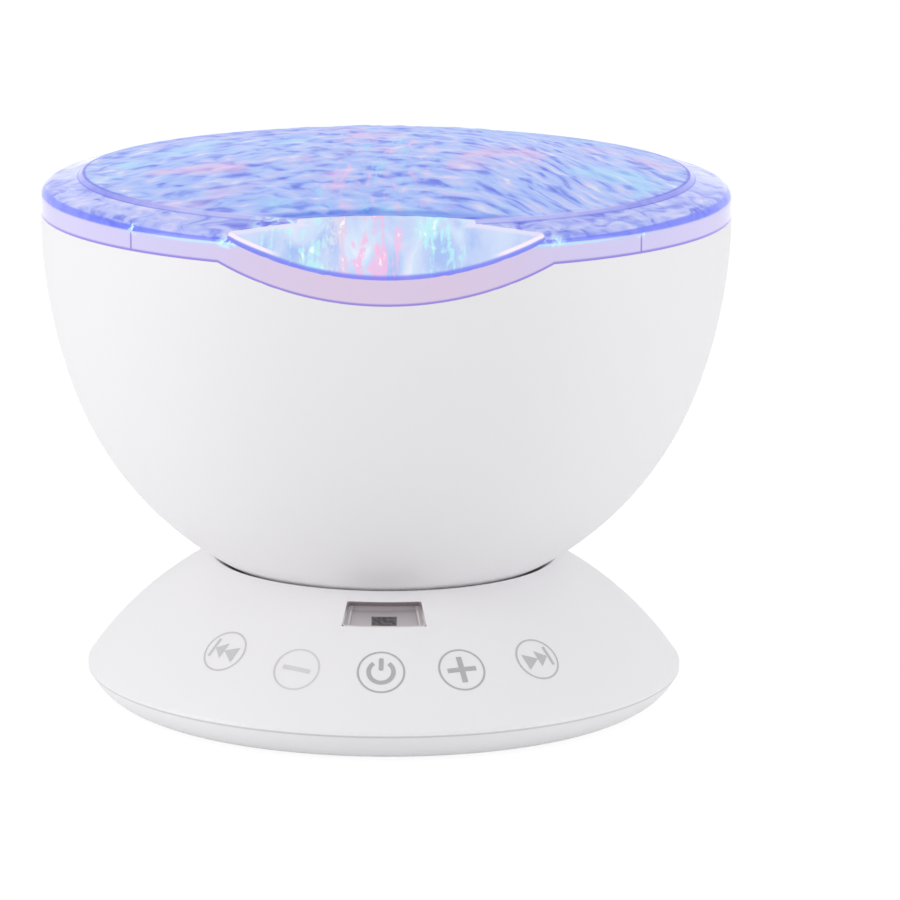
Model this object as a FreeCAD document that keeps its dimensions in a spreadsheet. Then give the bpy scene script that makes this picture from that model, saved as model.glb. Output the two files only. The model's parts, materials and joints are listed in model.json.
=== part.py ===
"""A star night light projector: a round bowl with a lit, rippled lid that tilts on a low domed base.

Millimetres, +Z up, the front with its sloped light window faces -Y. The origin is the centre of the
bottom, on the surface that the rubber feet stand on. The bowl's lower part is a ball about the pivot,
so it slides in the base's round seat as it tilts about X.
"""
import FreeCAD, Part
import math
import os
import re
import Sketcher

# Driving dimensions, in millimetres and degrees
SIZES = {
    # bowl
    "ball_radius": 72.5,
    "rim_flare": 2.5,
    "rim_rise": 13.6,
    "bowl_wall": 2.4,
    "tilt_limit": 22.5,
    "slot_gap": 0.5,
    # lid and its sloped front window
    "lid_wall": 2.2,
    "margin_rise": 6.6,
    "edge_round": 3.0,
    "ring_inset": 9.0,
    "ring_step": 2.0,
    "margin_lift": 1.3,
    "ring_foot": 0.8,
    "dome_rise": 6.8,
    "eye_slope": 42.7,
    "eye_drop": 7.8,
    "eye_band": 5.7,
    "skirt_gap": 0.6,
    "skirt_wall": 2.2,
    "skirt_depth": 4.0,
    "hook_width": 8.0,
    "hook_reach": 6.0,
    "hook_height": 2.4,
    "hook_barb": 1.0,
    "hook_gap": 0.3,
    "hook_lead_in": 0.6,
    "hook_root": 0.4,
    # light deck inside the bowl
    "deck_drop": 21.6,
    "deck_thickness": 2.0,
    "deck_gap": 4.1,
    "deck_wall": 2.0,
    "deck_wall_height": 12.0,
    "deck_post_inset": 1.5,
    "deck_post_radius": 3.5,
    # light board and lamps
    "led_post_height": 2.5,
    "led_post_radius": 2.0,
    "led_post_ring_radius": 19.0,
    "led_board_radius": 21.5,
    "led_board_hole": 4.0,
    "spindle_boss_radius": 3.5,
    "board_thickness": 1.6,
    "lamp_radius": 2.5,
    "lamp_height": 4.5,
    "inner_lamp_ring_radius": 7.5,
    "outer_lamp_ring_radius": 14.5,
    # turning wave disc and its drive
    "spindle_radius": 1.5,
    "running_gap": 0.1,
    "hub_radius": 4.0,
    "hub_gap": 0.4,
    "disc_gap": 4.0,
    "lamp_gap": 2.0,
    "disc_thickness": 2.0,
    "hub_rise": 1.2,
    "spindle_end": 1.5,
    "clip_radius": 3.3,
    "clip_thickness": 0.8,
    "gear_height": 4.0,
    "gear_module": 1.0,
    "ring_rim": 2.45,
    "mesh_gap": 0.2,
    "motor_radius": 12.0,
    "motor_height": 14.0,
    "motor_collar": 3.0,
    "shaft_depth": 4.0,
    "ear_reach": 16.0,
    "ear_width": 7.0,
    "ear_thickness": 1.2,
    # base cover: a dome with a round seat
    "seat_gap": 0.6,
    "seat_wall": 2.4,
    "seat_height": 18.5,
    "base_radius": 65.4,
    "base_wall": 2.2,
    "tip_height": 7.6,
    "seam_height": 6.6,
    "dome_top_radius": 30.0,
    "dome_top_height": 35.05,
    "dome_round": 73.6,
    "friction_inner": 24.0,
    "friction_width": 4.0,
    "friction_proud": 0.35,
    "friction_depth": 1.2,
    # base plate
    "floor_height": 0.8,
    "floor_thickness": 2.2,
    "undercut": 6.0,
    "foot_round": 11.0,
    "seam_inset": 0.15,
    "rib_inset": 3.6,
    "rib_wall": 2.0,
    "rib_overlap": 2.0,
    "rib_gap": 0.3,
    "pad_radius": 5.0,
    "pad_inset": 9.4,
    "pad_recess": 1.0,
    "boss_inset": 11.7,
    "boss_radius": 3.0,
    "rear_boss_angle": 45.0,
    "front_boss_angle": -30.0,
    # screws
    "screw_radius": 1.2,
    "screw_head_radius": 2.4,
    "screw_head_height": 1.2,
    "screw_length": 9.0,
    "short_screw_length": 4.0,
    "screw_gap": 0.2,
    # clamp that holds the bowl in its seat
    "post_radius": 4.0,
    "post_bore": 2.3,
    "post_bottom": 8.0,
    "post_end": 0.6,
    "shoe_radius": 15.0,
    "shoe_thickness": 2.4,
    "shoe_gap": 0.3,
    "washer_radius": 7.0,
    "washer_thickness": 1.0,
    "nut_width": 13.0,
    "nut_height": 3.4,
    "clamp_spring_radius": 6.2,
    "spring_wire": 1.2,
    # touch keys
    "key_margin": 9.4,
    "key_step": 18.5,
    "key_inset": 3.0,
    "key_clearance": 0.2,
    "touch_width": 8.5,
    "touch_gap": 0.6,
    "touch_half_angle": 42.0,
    "touch_spring_radius": 2.4,
    "touch_spring_wire": 0.5,
    # remote signal window
    "window_place": 0.3493,
    "window_half_angle": 11.0,
    "window_length": 7.3,
    "window_recess": 1.0,
    "window_flange": 1.2,
    "flange_depth": 1.25,
    "flange_bite": 0.5,
    "receiver_width": 5.2,
    "receiver_length": 3.2,
    "receiver_depth": 4.0,
    # main board and sockets
    "board_lift": 4.5,
    "board_width": 48.0,
    "board_length": 22.4,
    "board_gap": 1.4,
    "large_chip_half": 3.5,
    "small_chip_half": 2.5,
    "chip_height": 1.4,
    "chip_row": 5.5,
    "can_radius": 2.5,
    "can_height": 6.0,
    "can_row": 12.0,
    "can_spacing": 5.0,
    "lead_plug_half": 4.0,
    "lead_plug_length": 6.0,
    "lead_plug_height": 5.0,
    "lead_plug_overhang": 1.0,
    "standoff_radius": 2.4,
    "standoff_inset": 4.0,
    "socket_spacing": 12.0,
    "socket_width": 9.0,
    "socket_length": 12.0,
    "socket_height": 6.2,
    "nose_radius": 3.1,
    "audio_bore": 1.8,
    "power_bore": 1.8,
    "power_pin_radius": 0.65,
    "power_depth": 9.0,
    "power_pin_length": 8.0,
    "audio_depth": 13.0,
    "panel_depth": 9.4,
    "panel_half_width": 22.0,
    "panel_top": 19.0,
    "recess_floor": 1.0,
    # speaker
    "speaker_clearance": 2.1,
    "speaker_radius": 17.0,
    "speaker_flange": 3.0,
    "speaker_depth": 4.2,
    "gasket_thickness": 0.8,
    "magnet_radius": 10.0,
    "magnet_height": 5.0,
    "speaker_rib": 1.2,
    "speaker_gap": 0.2,
    "speaker_sheet": 1.0,
    "throat_rise": 1.8,
    "throat_radius": 4.0,
    "cap_radius": 3.4,
    "cap_drop": 3.0,
    "cone_drop": 2.2,
    "cone_thickness": 0.6,
    "grille_hole": 1.0,
    "grille_pitch": 4.8,
    # lead from the main board up to the light deck
    "lead_radius": 1.2,
    "lead_exit": 8.0,
    "lead_floor_gap": 0.8,
    "lead_front": 12.0,
    "lead_side": 18.0,
    "lead_sway": 6.0,
    "lead_back_sway": 9.0,
    "lead_climb": 26.0,
    "head_plug_half": 4.0,
    "head_plug_depth": 3.0,
    "head_plug_height": 4.0,
    "lead_drop": 14.0,
}

RING_TEETH = 48
PINION_TEETH = 12
PRESSURE_ANGLE = math.radians(20)
ADDENDUM = 0.8
DEDENDUM = 1.05
HOOK_ANGLE = 45.0

doc = FreeCAD.newDocument("star_projector")
sheet = doc.addObject("Spreadsheet::Sheet", "Sizes")
for row, (alias, size) in enumerate(SIZES.items(), start=1):
    sheet.set(f"A{row}", alias.replace("_", " "))
    sheet.set(f"B{row}", str(size))
    sheet.setAlias(f"B{row}", alias)
doc.recompute()

# Formulas shared by several pieces, as spreadsheet expressions
PIVOT = "(seat_height + seat_wall + seat_gap + ball_radius)"
RIM = "(ball_radius + rim_flare)"
RIM_TOP = f"({PIVOT} + rim_rise)"
SIDE_ROUND = "(ball_radius + rim_flare / 2 + rim_rise^2 / (2 * rim_flare))"
EYE_TAN = "tan(eye_slope)"
EYE_LOW = f"({RIM_TOP} - eye_drop)"
SKIRT = f"({RIM} - bowl_wall - skirt_gap)"
RING = f"({RIM} - ring_inset)"
LID_MARGIN = f"({RIM_TOP} + margin_rise)"
LID_CAVITY = f"({SKIRT} - skirt_wall)"
DECK = "(ball_radius - bowl_wall - deck_gap)"
DECK_POST = f"({DECK} - deck_wall - deck_post_radius - deck_post_inset)"
DISC = f"({DECK} - deck_wall - disc_gap)"
DECK_TOP = f"({RIM_TOP} - deck_drop)"
DECK_UNDER = f"({DECK_TOP} - deck_thickness)"
LED_BOARD = f"({DECK_TOP} + led_post_height)"
LAMP_FOOT = f"({LED_BOARD} + board_thickness)"
DISC_UNDER = f"({LAMP_FOOT} + lamp_height + lamp_radius + lamp_gap)"
GEAR_UNDER = f"({DISC_UNDER} - gear_height)"
DISC_TOP = f"({DISC_UNDER} + disc_thickness)"
GEAR_REACH = f"(gear_module * {(RING_TEETH + PINION_TEETH) / 2} + mesh_gap)"
RING_BORE = f"(gear_module * {RING_TEETH / 2 - DEDENDUM} - ring_rim)"
FLAT = "(base_radius - undercut)"
RIB = "(base_radius - base_wall - rib_inset)"
TOUCH_OUTER = f"({RIB} - rib_wall - touch_gap)"
TOUCH_INNER = f"({TOUCH_OUTER} - touch_width)"
SPEAKER = f"({TOUCH_INNER} - speaker_clearance - speaker_rib - speaker_gap - speaker_radius)"
KEY_CIRCLE = "(base_radius - key_margin)"
WINDOW_CIRCLE = f"(seat_edge_radius + window_place * ({KEY_CIRCLE} - seat_edge_radius))"
PANEL = "(base_radius - panel_depth)"
BOARD_BACK = f"({PANEL} - base_wall - board_gap)"
BOARD_FRONT = f"({BOARD_BACK} - board_length)"
FLOOR = "(floor_height + floor_thickness)"
BOARD = f"({FLOOR} + board_lift)"
BOARD_TOP = f"({BOARD} + board_thickness)"
SOCKET_AXIS = f"({BOARD_TOP} + socket_height / 2)"
CHORD_R = "(base_radius - dome_top_radius)"
CHORD_Z = "(dome_top_height - tip_height)"
CHORD = f"sqrt({CHORD_R}^2 + {CHORD_Z}^2)"
CHORD_DEPTH = f"sqrt(dome_round^2 - {CHORD}^2 / 4)"
DOME_R = f"((base_radius + dome_top_radius) / 2 - {CHORD_DEPTH} * {CHORD_Z} / {CHORD})"
DOME_Z = f"((dome_top_height + tip_height) / 2 - {CHORD_DEPTH} * {CHORD_R} / {CHORD})"

# Sizes worked out once in the sheet; the last three find where the seat's ball meets the dome
WORKED_OUT = {
    "dome_centre_radius": DOME_R,
    "dome_centre_height": DOME_Z,
    "seat_ball_radius": "(ball_radius + seat_gap)",
    "seat_centre_drop": f"({PIVOT} - dome_centre_height)",
    "seat_centre_span": "sqrt(dome_centre_radius^2 + seat_centre_drop^2)",
    "seat_edge_along": "((seat_ball_radius^2 - dome_round^2 + seat_centre_span^2) / (2 * seat_centre_span))",
    "seat_edge_out": "sqrt(seat_ball_radius^2 - seat_edge_along^2)",
    "seat_edge_radius": "((seat_edge_along * dome_centre_radius + seat_edge_out * seat_centre_drop)"
                        " / seat_centre_span)",
}
for row, (alias, formula) in enumerate(WORKED_OUT.items(), start=len(SIZES) + 1):
    sheet.set(f"A{row}", alias.replace("_", " "))
    sheet.set(f"B{row}", f"={formula}")
    sheet.setAlias(f"B{row}", alias)
doc.recompute()
SHEET_NAMES = {*SIZES, *WORKED_OUT}


def dome_height(radius):
    """Height of the base cover's outer surface at a radius."""
    return f"(dome_centre_height + sqrt(dome_round^2 - ({radius} - dome_centre_radius)^2))"


def dome_under(radius):
    """Height of the base cover's inner surface at a radius."""
    outer = f"({radius} + base_wall * {CHORD_Z} / {CHORD})"
    return f"({dome_height(outer)} - base_wall * {CHORD_R} / {CHORD})"


def ball_height(ball, radius):
    """Height of the lower half of a ball about the pivot, at a radius."""
    return f"({PIVOT} - sqrt(({ball})^2 - ({radius})^2))"


def side_point(wall):
    """Where the bowl's ball part runs into its flared side, for a wall set in by that much."""
    reach = f"((ball_radius - {wall}) / ({SIDE_ROUND} - ball_radius))"
    radius = f"({reach} * ({SIDE_ROUND} - {RIM}))"
    height = f"({PIVOT} - {reach} * rim_rise)"
    return radius, height


def cells(formula):
    """Point every size named in a formula at its cell in the sheet."""
    return re.sub(r"[a-z_]+", lambda word: "Sizes." + word[0] if word[0] in SHEET_NAMES else word[0], formula)


def value(formula):
    """The present value of a formula, for first guesses and for plain shapes."""
    return float(sheet.evalExpression(cells(formula)))


def new_body(label):
    body = doc.addObject("PartDesign::Body", label)
    body.Label = label
    return body


def new_sketch(body, name, role):
    """A sketch on one of the body's own origin planes, such as XZ_Plane."""
    sketch = body.newObject("Sketcher::SketchObject", f"{body.Name}_{name}")
    plane = next(feature for feature in body.Origin.OriginFeatures if feature.Role == role)
    sketch.AttachmentSupport = [(plane, "")]
    sketch.MapMode = "FlatFace"
    return sketch


def bind(sketch, constraint, formula):
    """Add a constraint whose value follows a formula."""
    index = sketch.addConstraint(constraint)
    sketch.renameConstraint(index, f"size{index}")
    sketch.setExpression(f"Constraints.size{index}", cells(formula))


def pin_point(sketch, side, end, across, up):
    """Fix a point of a sketch by two formulas; a plain 0 puts it on the sketch's own axis."""
    if across == "0":
        sketch.addConstraint(Sketcher.Constraint("PointOnObject", side, end, -2))
    else:
        bind(sketch, Sketcher.Constraint("DistanceX", -1, 1, side, end, value(across)), across)
    if up == "0":
        sketch.addConstraint(Sketcher.Constraint("PointOnObject", side, end, -1))
    else:
        bind(sketch, Sketcher.Constraint("DistanceY", -1, 1, side, end, value(up)), up)


def arc_between(start, stop, radius, turn):
    """The short arc between two points, turning left (1) or right (-1)."""
    chord = stop - start
    left = FreeCAD.Vector(-chord.y, chord.x, 0).normalize()
    offset = math.sqrt(max(radius ** 2 - chord.Length ** 2 / 4, 0))
    centre = (start + stop) / 2 + left * offset * turn
    first, last = (start, stop) if turn > 0 else (stop, start)
    begin = math.atan2(first.y - centre.y, first.x - centre.x)
    finish = math.atan2(last.y - centre.y, last.x - centre.x)
    if finish < begin:
        finish += 2 * math.pi
    return Part.ArcOfCircle(Part.Circle(centre, FreeCAD.Vector(0, 0, 1), radius), begin, finish)


def outline(sketch, corners):
    """Draw a closed outline through corners (across, up). A corner with a radius and a turn starts
    an arc to the next corner, which turns left (1) or right (-1)."""
    points = [FreeCAD.Vector(value(corner[0]), value(corner[1]), 0) for corner in corners]
    ends = []
    for number, corner in enumerate(corners):
        start = points[number]
        stop = points[(number + 1) % len(points)]
        if len(corner) == 2:
            side = sketch.addGeometry(Part.LineSegment(start, stop))
            ends.append((side, 1, 2))
        else:
            radius, turn = corner[2:]
            side = sketch.addGeometry(arc_between(start, stop, value(radius), turn))
            ends.append((side, 1, 2) if turn > 0 else (side, 2, 1))
    for number, (side, begin, finish) in enumerate(ends):
        following, its_begin, _ = ends[(number + 1) % len(ends)]
        sketch.addConstraint(Sketcher.Constraint("Coincident", side, finish, following, its_begin))
    for (side, begin, _), corner in zip(ends, corners):
        pin_point(sketch, side, begin, corner[0], corner[1])
        if len(corner) > 2:
            bind(sketch, Sketcher.Constraint("Radius", side, value(corner[2])), corner[2])


def circle(sketch, across, up, radius):
    """Draw a circle whose centre and radius follow formulas."""
    centre = FreeCAD.Vector(value(across), value(up), 0)
    side = sketch.addGeometry(Part.Circle(centre, FreeCAD.Vector(0, 0, 1), value(radius)))
    pin_point(sketch, side, 3, across, up)
    bind(sketch, Sketcher.Constraint("Radius", side, value(radius)), radius)


def box_corners(left, right, low, high):
    return [(left, low), (right, low), (right, high), (left, high)]


def turned(body, name, corners, angle="360", kind="Revolution", axis="V_Axis", plane="XZ_Plane"):
    """Turn an outline drawn in radius and height about the body's axis."""
    sketch = new_sketch(body, name, plane)
    outline(sketch, corners)
    feature = body.newObject(f"PartDesign::{kind}", f"{sketch.Name}_turned")
    feature.Profile = sketch
    feature.ReferenceAxis = (sketch, [axis])
    feature.Midplane = True
    feature.Angle = 360
    if angle != "360":
        feature.setExpression("Angle", cells(angle))
    sketch.Visibility = False
    body.Tip = feature
    return feature


def padded(body, sketch, length, lift=None, midplane=False, cut=False):
    """Pad a sketch, or cut with it, along its normal; lift moves the sketch along that normal."""
    if lift is not None:
        sketch.setExpression("AttachmentOffset.Base.z", cells(lift))
    feature = body.newObject("PartDesign::Pocket" if cut else "PartDesign::Pad", f"{sketch.Name}_padded")
    feature.Profile = sketch
    feature.Midplane = midplane
    feature.Length = value(length)
    feature.setExpression("Length", cells(length))
    sketch.Visibility = False
    body.Tip = feature
    return feature


def place(thing, across="0", back="0", up="0"):
    """Put an object at a point given by formulas."""
    for letter, formula in zip("xyz", (across, back, up)):
        if formula != "0":
            thing.setExpression(f"Placement.Base.{letter}", cells(formula))
    return thing


def turn_to(thing, axis, angle):
    """Turn an object about an axis through its own origin, by a fixed angle."""
    base = thing.Placement.Base
    thing.Placement = FreeCAD.Placement(base, FreeCAD.Rotation(FreeCAD.Vector(*axis), angle))
    return thing


def cylinder(name, radius, height, across="0", back="0", up="0", axis="up"):
    """A plain cylinder that stands at a point, upright or lying along +Y."""
    rod = doc.addObject("Part::Cylinder", name)
    rod.setExpression("Radius", cells(radius))
    rod.setExpression("Height", cells(height))
    if axis == "back":
        turn_to(rod, (1, 0, 0), -90)
    return place(rod, across, back, up)


def block(name, left, right, front, back, low, high):
    """A plain box between three pairs of formulas."""
    brick = doc.addObject("Part::Box", name)
    brick.setExpression("Length", cells(f"({right}) - ({left})"))
    brick.setExpression("Width", cells(f"({back}) - ({front})"))
    brick.setExpression("Height", cells(f"({high}) - ({low})"))
    return place(brick, left, front, low)


def ball(name, radius, up):
    sphere = doc.addObject("Part::Sphere", name)
    sphere.setExpression("Radius", cells(radius))
    return place(sphere, up=up)


def fused(name, pieces):
    union = doc.addObject("Part::MultiFuse", name)
    union.Shapes = pieces
    return union


def cut(name, base, tool):
    difference = doc.addObject("Part::Cut", name)
    difference.Base = base
    difference.Tool = tool
    return difference


def group(name, pieces):
    """Several like solids in one named piece."""
    gathered = doc.addObject("Part::Compound", name)
    gathered.Links = pieces
    return gathered


def polar(circle_radius, angle):
    """Formulas for a point on a circle about Z, with the angle from +X."""
    return f"{circle_radius} * cos({angle})", f"{circle_radius} * sin({angle})"


def screws(name, spots, low, length, head_up):
    """A group of equal screws. low is the height of the bearing face under each head."""
    pieces = []
    for number, (across, back) in enumerate(spots):
        head_low = low if head_up else f"{low} - screw_head_height"
        shank_low = f"{low} - {length}" if head_up else low
        head = cylinder(f"{name}_head{number}", "screw_head_radius", "screw_head_height", across, back, head_low)
        shank = cylinder(f"{name}_shank{number}", "screw_radius", length, across, back, shank_low)
        pieces.append(fused(f"{name}_{number}", [head, shank]))
    return group(name, pieces)


# Where repeated things stand
DECK_SCREW_SPOTS = [polar(DECK_POST, f"{angle}") for angle in (45, 135, 225, 315)]
LED_POST_SPOTS = [polar("led_post_ring_radius", f"{angle}") for angle in (30, 150, 270)]
BOSS_ANGLES = ("rear_boss_angle", "180 - rear_boss_angle", "180 - front_boss_angle", "front_boss_angle")
BOSS_SPOTS = [polar("(base_radius - boss_inset)", f"({angle})") for angle in BOSS_ANGLES]
PAD_SPOTS = [polar(f"({FLAT} - pad_inset)", f"{angle}") for angle in (0, 90, 180, 270)]
EAR_SPOTS = [(GEAR_REACH, "ear_reach"), (GEAR_REACH, "-ear_reach")]
STANDOFF_SPOTS = [
    ("board_width / 2 - standoff_inset", f"{BOARD_FRONT} + standoff_inset"),
    ("standoff_inset - board_width / 2", f"{BOARD_FRONT} + standoff_inset"),
]
TOUCH_POST_SPOTS = [
    polar(f"({TOUCH_OUTER} - touch_width / 2)", f"(270 {sign} key_step * 1.5)") for sign in "+-"
]
KEY_ANGLES = [f"(270 + {number} * key_step)" for number in (-2, -1, 0, 1, 2)]


def eye_line(lift):
    """The sloped front plane, raised by lift above the bowl's cut edge, as (across, up) ends in YZ."""
    reach = f"({RIM} + 6)"
    low = f"({EYE_LOW} + {lift} - 6 * {EYE_TAN})"
    top = f"({RIM_TOP} + 30)"
    across = f"(({top} - {EYE_LOW} - {lift}) / {EYE_TAN} - {RIM})"
    return (f"-{reach}", low), (across, top), (f"-{reach}", top)


def eye_cut(body, name, lift):
    """Cut away what lies above the sloped front plane."""
    sketch = new_sketch(body, name, "YZ_Plane")
    outline(sketch, list(eye_line(lift)))
    padded(body, sketch, f"4 * {RIM}", midplane=True, cut=True)


def edge_cut(body, name, drop):
    """Cut away what lies below the lid's lower edge, moved down by drop."""
    across = f"({RIM} + 6)"
    bend = f"(eye_drop / {EYE_TAN} - {RIM})"
    low = f"({EYE_LOW} - 40)"
    corners = [
        (f"-{across}", low),
        (across, low),
        (across, f"({RIM_TOP} - {drop})"),
        (bend, f"({RIM_TOP} - {drop})"),
        (f"-{across}", f"({EYE_LOW} - {drop} - 6 * {EYE_TAN})"),
    ]
    sketch = new_sketch(body, name, "YZ_Plane")
    outline(sketch, corners)
    padded(body, sketch, f"4 * {RIM}", midplane=True, cut=True)


def make_bowl():
    """Bowl: a ball with a flared rim, cut down at the front, slotted below for the clamp post."""
    block_body = new_body("bowl_block")
    corners = [
        ("0", f"({PIVOT} - ball_radius)", "ball_radius", 1),
        (*side_point("0"), SIDE_ROUND, 1),
        (RIM, RIM_TOP),
        ("0", RIM_TOP),
    ]
    turned(block_body, "profile", corners)
    eye_cut(block_body, "front", "0")

    cavity = new_body("bowl_cavity")
    inner = "(ball_radius - bowl_wall)"
    corners = [
        ("0", f"({PIVOT} - {inner})", inner, 1),
        (*side_point("bowl_wall"), f"({SIDE_ROUND} - bowl_wall)", 1),
        (f"({RIM} - bowl_wall)", RIM_TOP),
        (f"({RIM} - bowl_wall)", f"({RIM_TOP} + 1)"),
        ("0", f"({RIM_TOP} + 1)"),
    ]
    turned(cavity, "profile", corners)

    posts = []
    for number, (across, back) in enumerate(DECK_SCREW_SPOTS):
        low = f"({PIVOT} - ball_radius)"
        post = cylinder(f"deck_post{number}", "deck_post_radius", f"{DECK_UNDER} - {low}", across, back, low)
        posts.append(post)
    hollow = cut("bowl_hollow", cavity, fused("deck_posts", posts))

    slot = new_body("tilt_slot")
    half = "(post_radius + slot_gap)"
    corners = box_corners(f"-{half}", half, "(ball_radius - bowl_wall - 1)", "(ball_radius + 1)")
    travel = f"2 * (tilt_limit + 180 / pi * {half} / (ball_radius - bowl_wall))"
    turned(slot, "arc", corners, travel, axis="H_Axis", plane="XY_Plane")
    turn_to(slot, (1, 0, 0), -90)
    place(slot, up=PIVOT)

    pockets = new_body("hook_pockets")
    low = f"({RIM_TOP} - hook_reach - hook_height - hook_gap)"
    high = f"({RIM_TOP} - hook_reach + hook_gap)"
    sketch = new_sketch(pockets, "section", "XZ_Plane")
    outline(sketch, box_corners(SKIRT, f"({SKIRT} + skirt_gap + hook_barb + hook_gap)", low, high))
    padded(pockets, sketch, "hook_width + 2 * hook_gap", midplane=True)
    around(pockets, 4)
    turn_to(pockets, (0, 0, 1), HOOK_ANGLE)

    pilots = []
    for number, (across, back) in enumerate(DECK_SCREW_SPOTS):
        low = f"({DECK_UNDER} - screw_length)"
        pilots.append(cylinder(f"deck_pilot{number}", "screw_radius", "screw_length", across, back, low))
    tools = fused("bowl_tools", [hollow, slot, pockets, *pilots])
    return cut("bowl", block_body, tools)


def around(body, count):
    """Repeat the body's last feature evenly about Z."""
    pattern = body.newObject("PartDesign::PolarPattern", f"{body.Name}_around")
    pattern.Originals = [body.Tip]
    axis = next(feature for feature in body.Origin.OriginFeatures if feature.Role == "Z_Axis")
    pattern.Axis = (axis, [""])
    pattern.Angle = 360
    pattern.Occurrences = count
    body.Tip = pattern


def make_lid():
    """Lid: one clear moulding with a rippled dome, a plain margin, a sloped front window and a
    skirt whose four hooks snap into the bowl."""
    low = f"({EYE_LOW} - eye_drop)"
    low_radius = f"({RIM} - {SIDE_ROUND} + sqrt({SIDE_ROUND}^2 - ({RIM_TOP} - {low})^2))"
    rise = "(margin_rise + ring_step + dome_rise)"
    dome_radius = f"(({RING}^2 + dome_rise^2) / (2 * dome_rise))"
    lid_block = new_body("lid_block")
    corners = [
        ("0", low),
        (low_radius, low, SIDE_ROUND, 1),
        (RIM, RIM_TOP),
        (RIM, f"({LID_MARGIN} - edge_round)", "edge_round", 1),
        (f"({RIM} - edge_round)", LID_MARGIN),
        (f"({RING} + ring_foot)", f"({LID_MARGIN} + margin_lift)"),
        (RING, f"({LID_MARGIN} + ring_step)", dome_radius, 1),
        ("0", f"({RIM_TOP} + {rise})"),
    ]
    turned(lid_block, "profile", corners)
    eye_cut(lid_block, "front", "eye_band")
    edge_cut(lid_block, "edge", "0")

    skirt = new_body("lid_skirt")
    skirt_low = f"({EYE_LOW} - skirt_depth - 10)"
    turned(skirt, "profile", box_corners("0", SKIRT, skirt_low, f"({RIM_TOP} + hook_root)"))
    edge_cut(skirt, "edge", "skirt_depth")

    hooks = new_body("lid_hooks")
    barb_low = f"({RIM_TOP} - hook_reach - hook_height)"
    barb_high = f"({RIM_TOP} - hook_reach)"
    inner = f"({LID_CAVITY} + hook_root)"
    corners = [
        (inner, barb_low),
        (SKIRT, barb_low),
        (f"({SKIRT} + skirt_gap + hook_barb)", f"({barb_high} - hook_lead_in)"),
        (f"({SKIRT} + skirt_gap + hook_barb)", barb_high),
        (SKIRT, barb_high),
        (SKIRT, f"({RIM_TOP} - skirt_depth / 2)"),
        (inner, f"({RIM_TOP} - skirt_depth / 2)"),
    ]
    sketch = new_sketch(hooks, "section", "XZ_Plane")
    outline(sketch, corners)
    padded(hooks, sketch, "hook_width", midplane=True)
    around(hooks, 4)
    turn_to(hooks, (0, 0, 1), HOOK_ANGLE)

    cavity = new_body("lid_cavity")
    ceiling = f"({LID_MARGIN} - lid_wall)"
    under_radius = f"((({RING} - lid_wall)^2 + dome_rise^2) / (2 * dome_rise))"
    corners = [
        ("0", f"({skirt_low} - 5)"),
        (LID_CAVITY, f"({skirt_low} - 5)"),
        (LID_CAVITY, f"({ceiling} - 1)"),
        (f"({LID_CAVITY} - 1)", ceiling),
        (f"({RING} - lid_wall + ring_foot)", f"({ceiling} + margin_lift)"),
        (f"({RING} - lid_wall)", f"({ceiling} + ring_step)", under_radius, 1),
        ("0", f"({RIM_TOP} + {rise} - lid_wall)"),
    ]
    turned(cavity, "profile", corners)
    eye_cut(cavity, "front", "(eye_band - lid_wall / cos(eye_slope))")
    return cut("lid", fused("lid_solid", [lid_block, skirt, hooks]), cavity)


def make_light_deck():
    """White tray inside the bowl that carries the light board, the spindle and the motor."""
    deck = new_body("light_deck")
    inner = f"({DECK} - deck_wall)"
    boss = "spindle_boss_radius"
    boss_top = f"({GEAR_UNDER} - hub_gap)"
    corners = [
        ("spindle_radius", DECK_UNDER),
        (DECK, DECK_UNDER),
        (DECK, f"({DECK_TOP} + deck_wall_height)"),
        (inner, f"({DECK_TOP} + deck_wall_height)"),
        (inner, DECK_TOP),
        (boss, DECK_TOP),
        (boss, boss_top),
        ("spindle_radius", boss_top),
    ]
    turned(deck, "profile", corners)
    posts = new_sketch(deck, "posts", "XY_Plane")
    for across, back in LED_POST_SPOTS:
        circle(posts, across, back, "led_post_radius")
    padded(deck, posts, "led_post_height", DECK_TOP)
    holes = new_sketch(deck, "holes", "XY_Plane")
    circle(holes, GEAR_REACH, "0", "motor_collar + screw_gap")
    for across, back in DECK_SCREW_SPOTS:
        circle(holes, across, back, "screw_radius + screw_gap")
    for across, back in EAR_SPOTS + LED_POST_SPOTS:
        circle(holes, across, back, "screw_radius")
    padded(deck, holes, "deck_thickness + led_post_height", f"({DECK_TOP} + led_post_height)", cut=True)
    return deck


def make_light_board():
    """Round board with twelve lamps in two rings."""
    board = new_body("light_board")
    face = new_sketch(board, "face", "XY_Plane")
    circle(face, "0", "0", "led_board_radius")
    circle(face, "0", "0", "led_board_hole")
    for across, back in LED_POST_SPOTS:
        circle(face, across, back, "screw_radius + screw_gap")
    padded(board, face, "board_thickness", LED_BOARD)
    lamps = []
    inner = [polar("inner_lamp_ring_radius", f"{90 + 120 * number}") for number in range(3)]
    outer = [polar("outer_lamp_ring_radius", f"{10 + 40 * number}") for number in range(9)]
    for number, (across, back) in enumerate(inner + outer):
        stem = cylinder(f"lamp_stem{number}", "lamp_radius", "lamp_height", across, back, LAMP_FOOT)
        cap = ball(f"lamp_cap{number}", "lamp_radius", f"({LAMP_FOOT} + lamp_height)")
        place(cap, across, back)
        lamps.append(fused(f"lamp{number}", [stem, cap]))
    return [board, group("lamps", lamps)]


def involute_angle(radius, base):
    """Angle that an involute has turned through where it reaches a radius."""
    steep = math.sqrt(max((radius / base) ** 2 - 1, 0))
    return steep - math.atan(steep)


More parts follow.
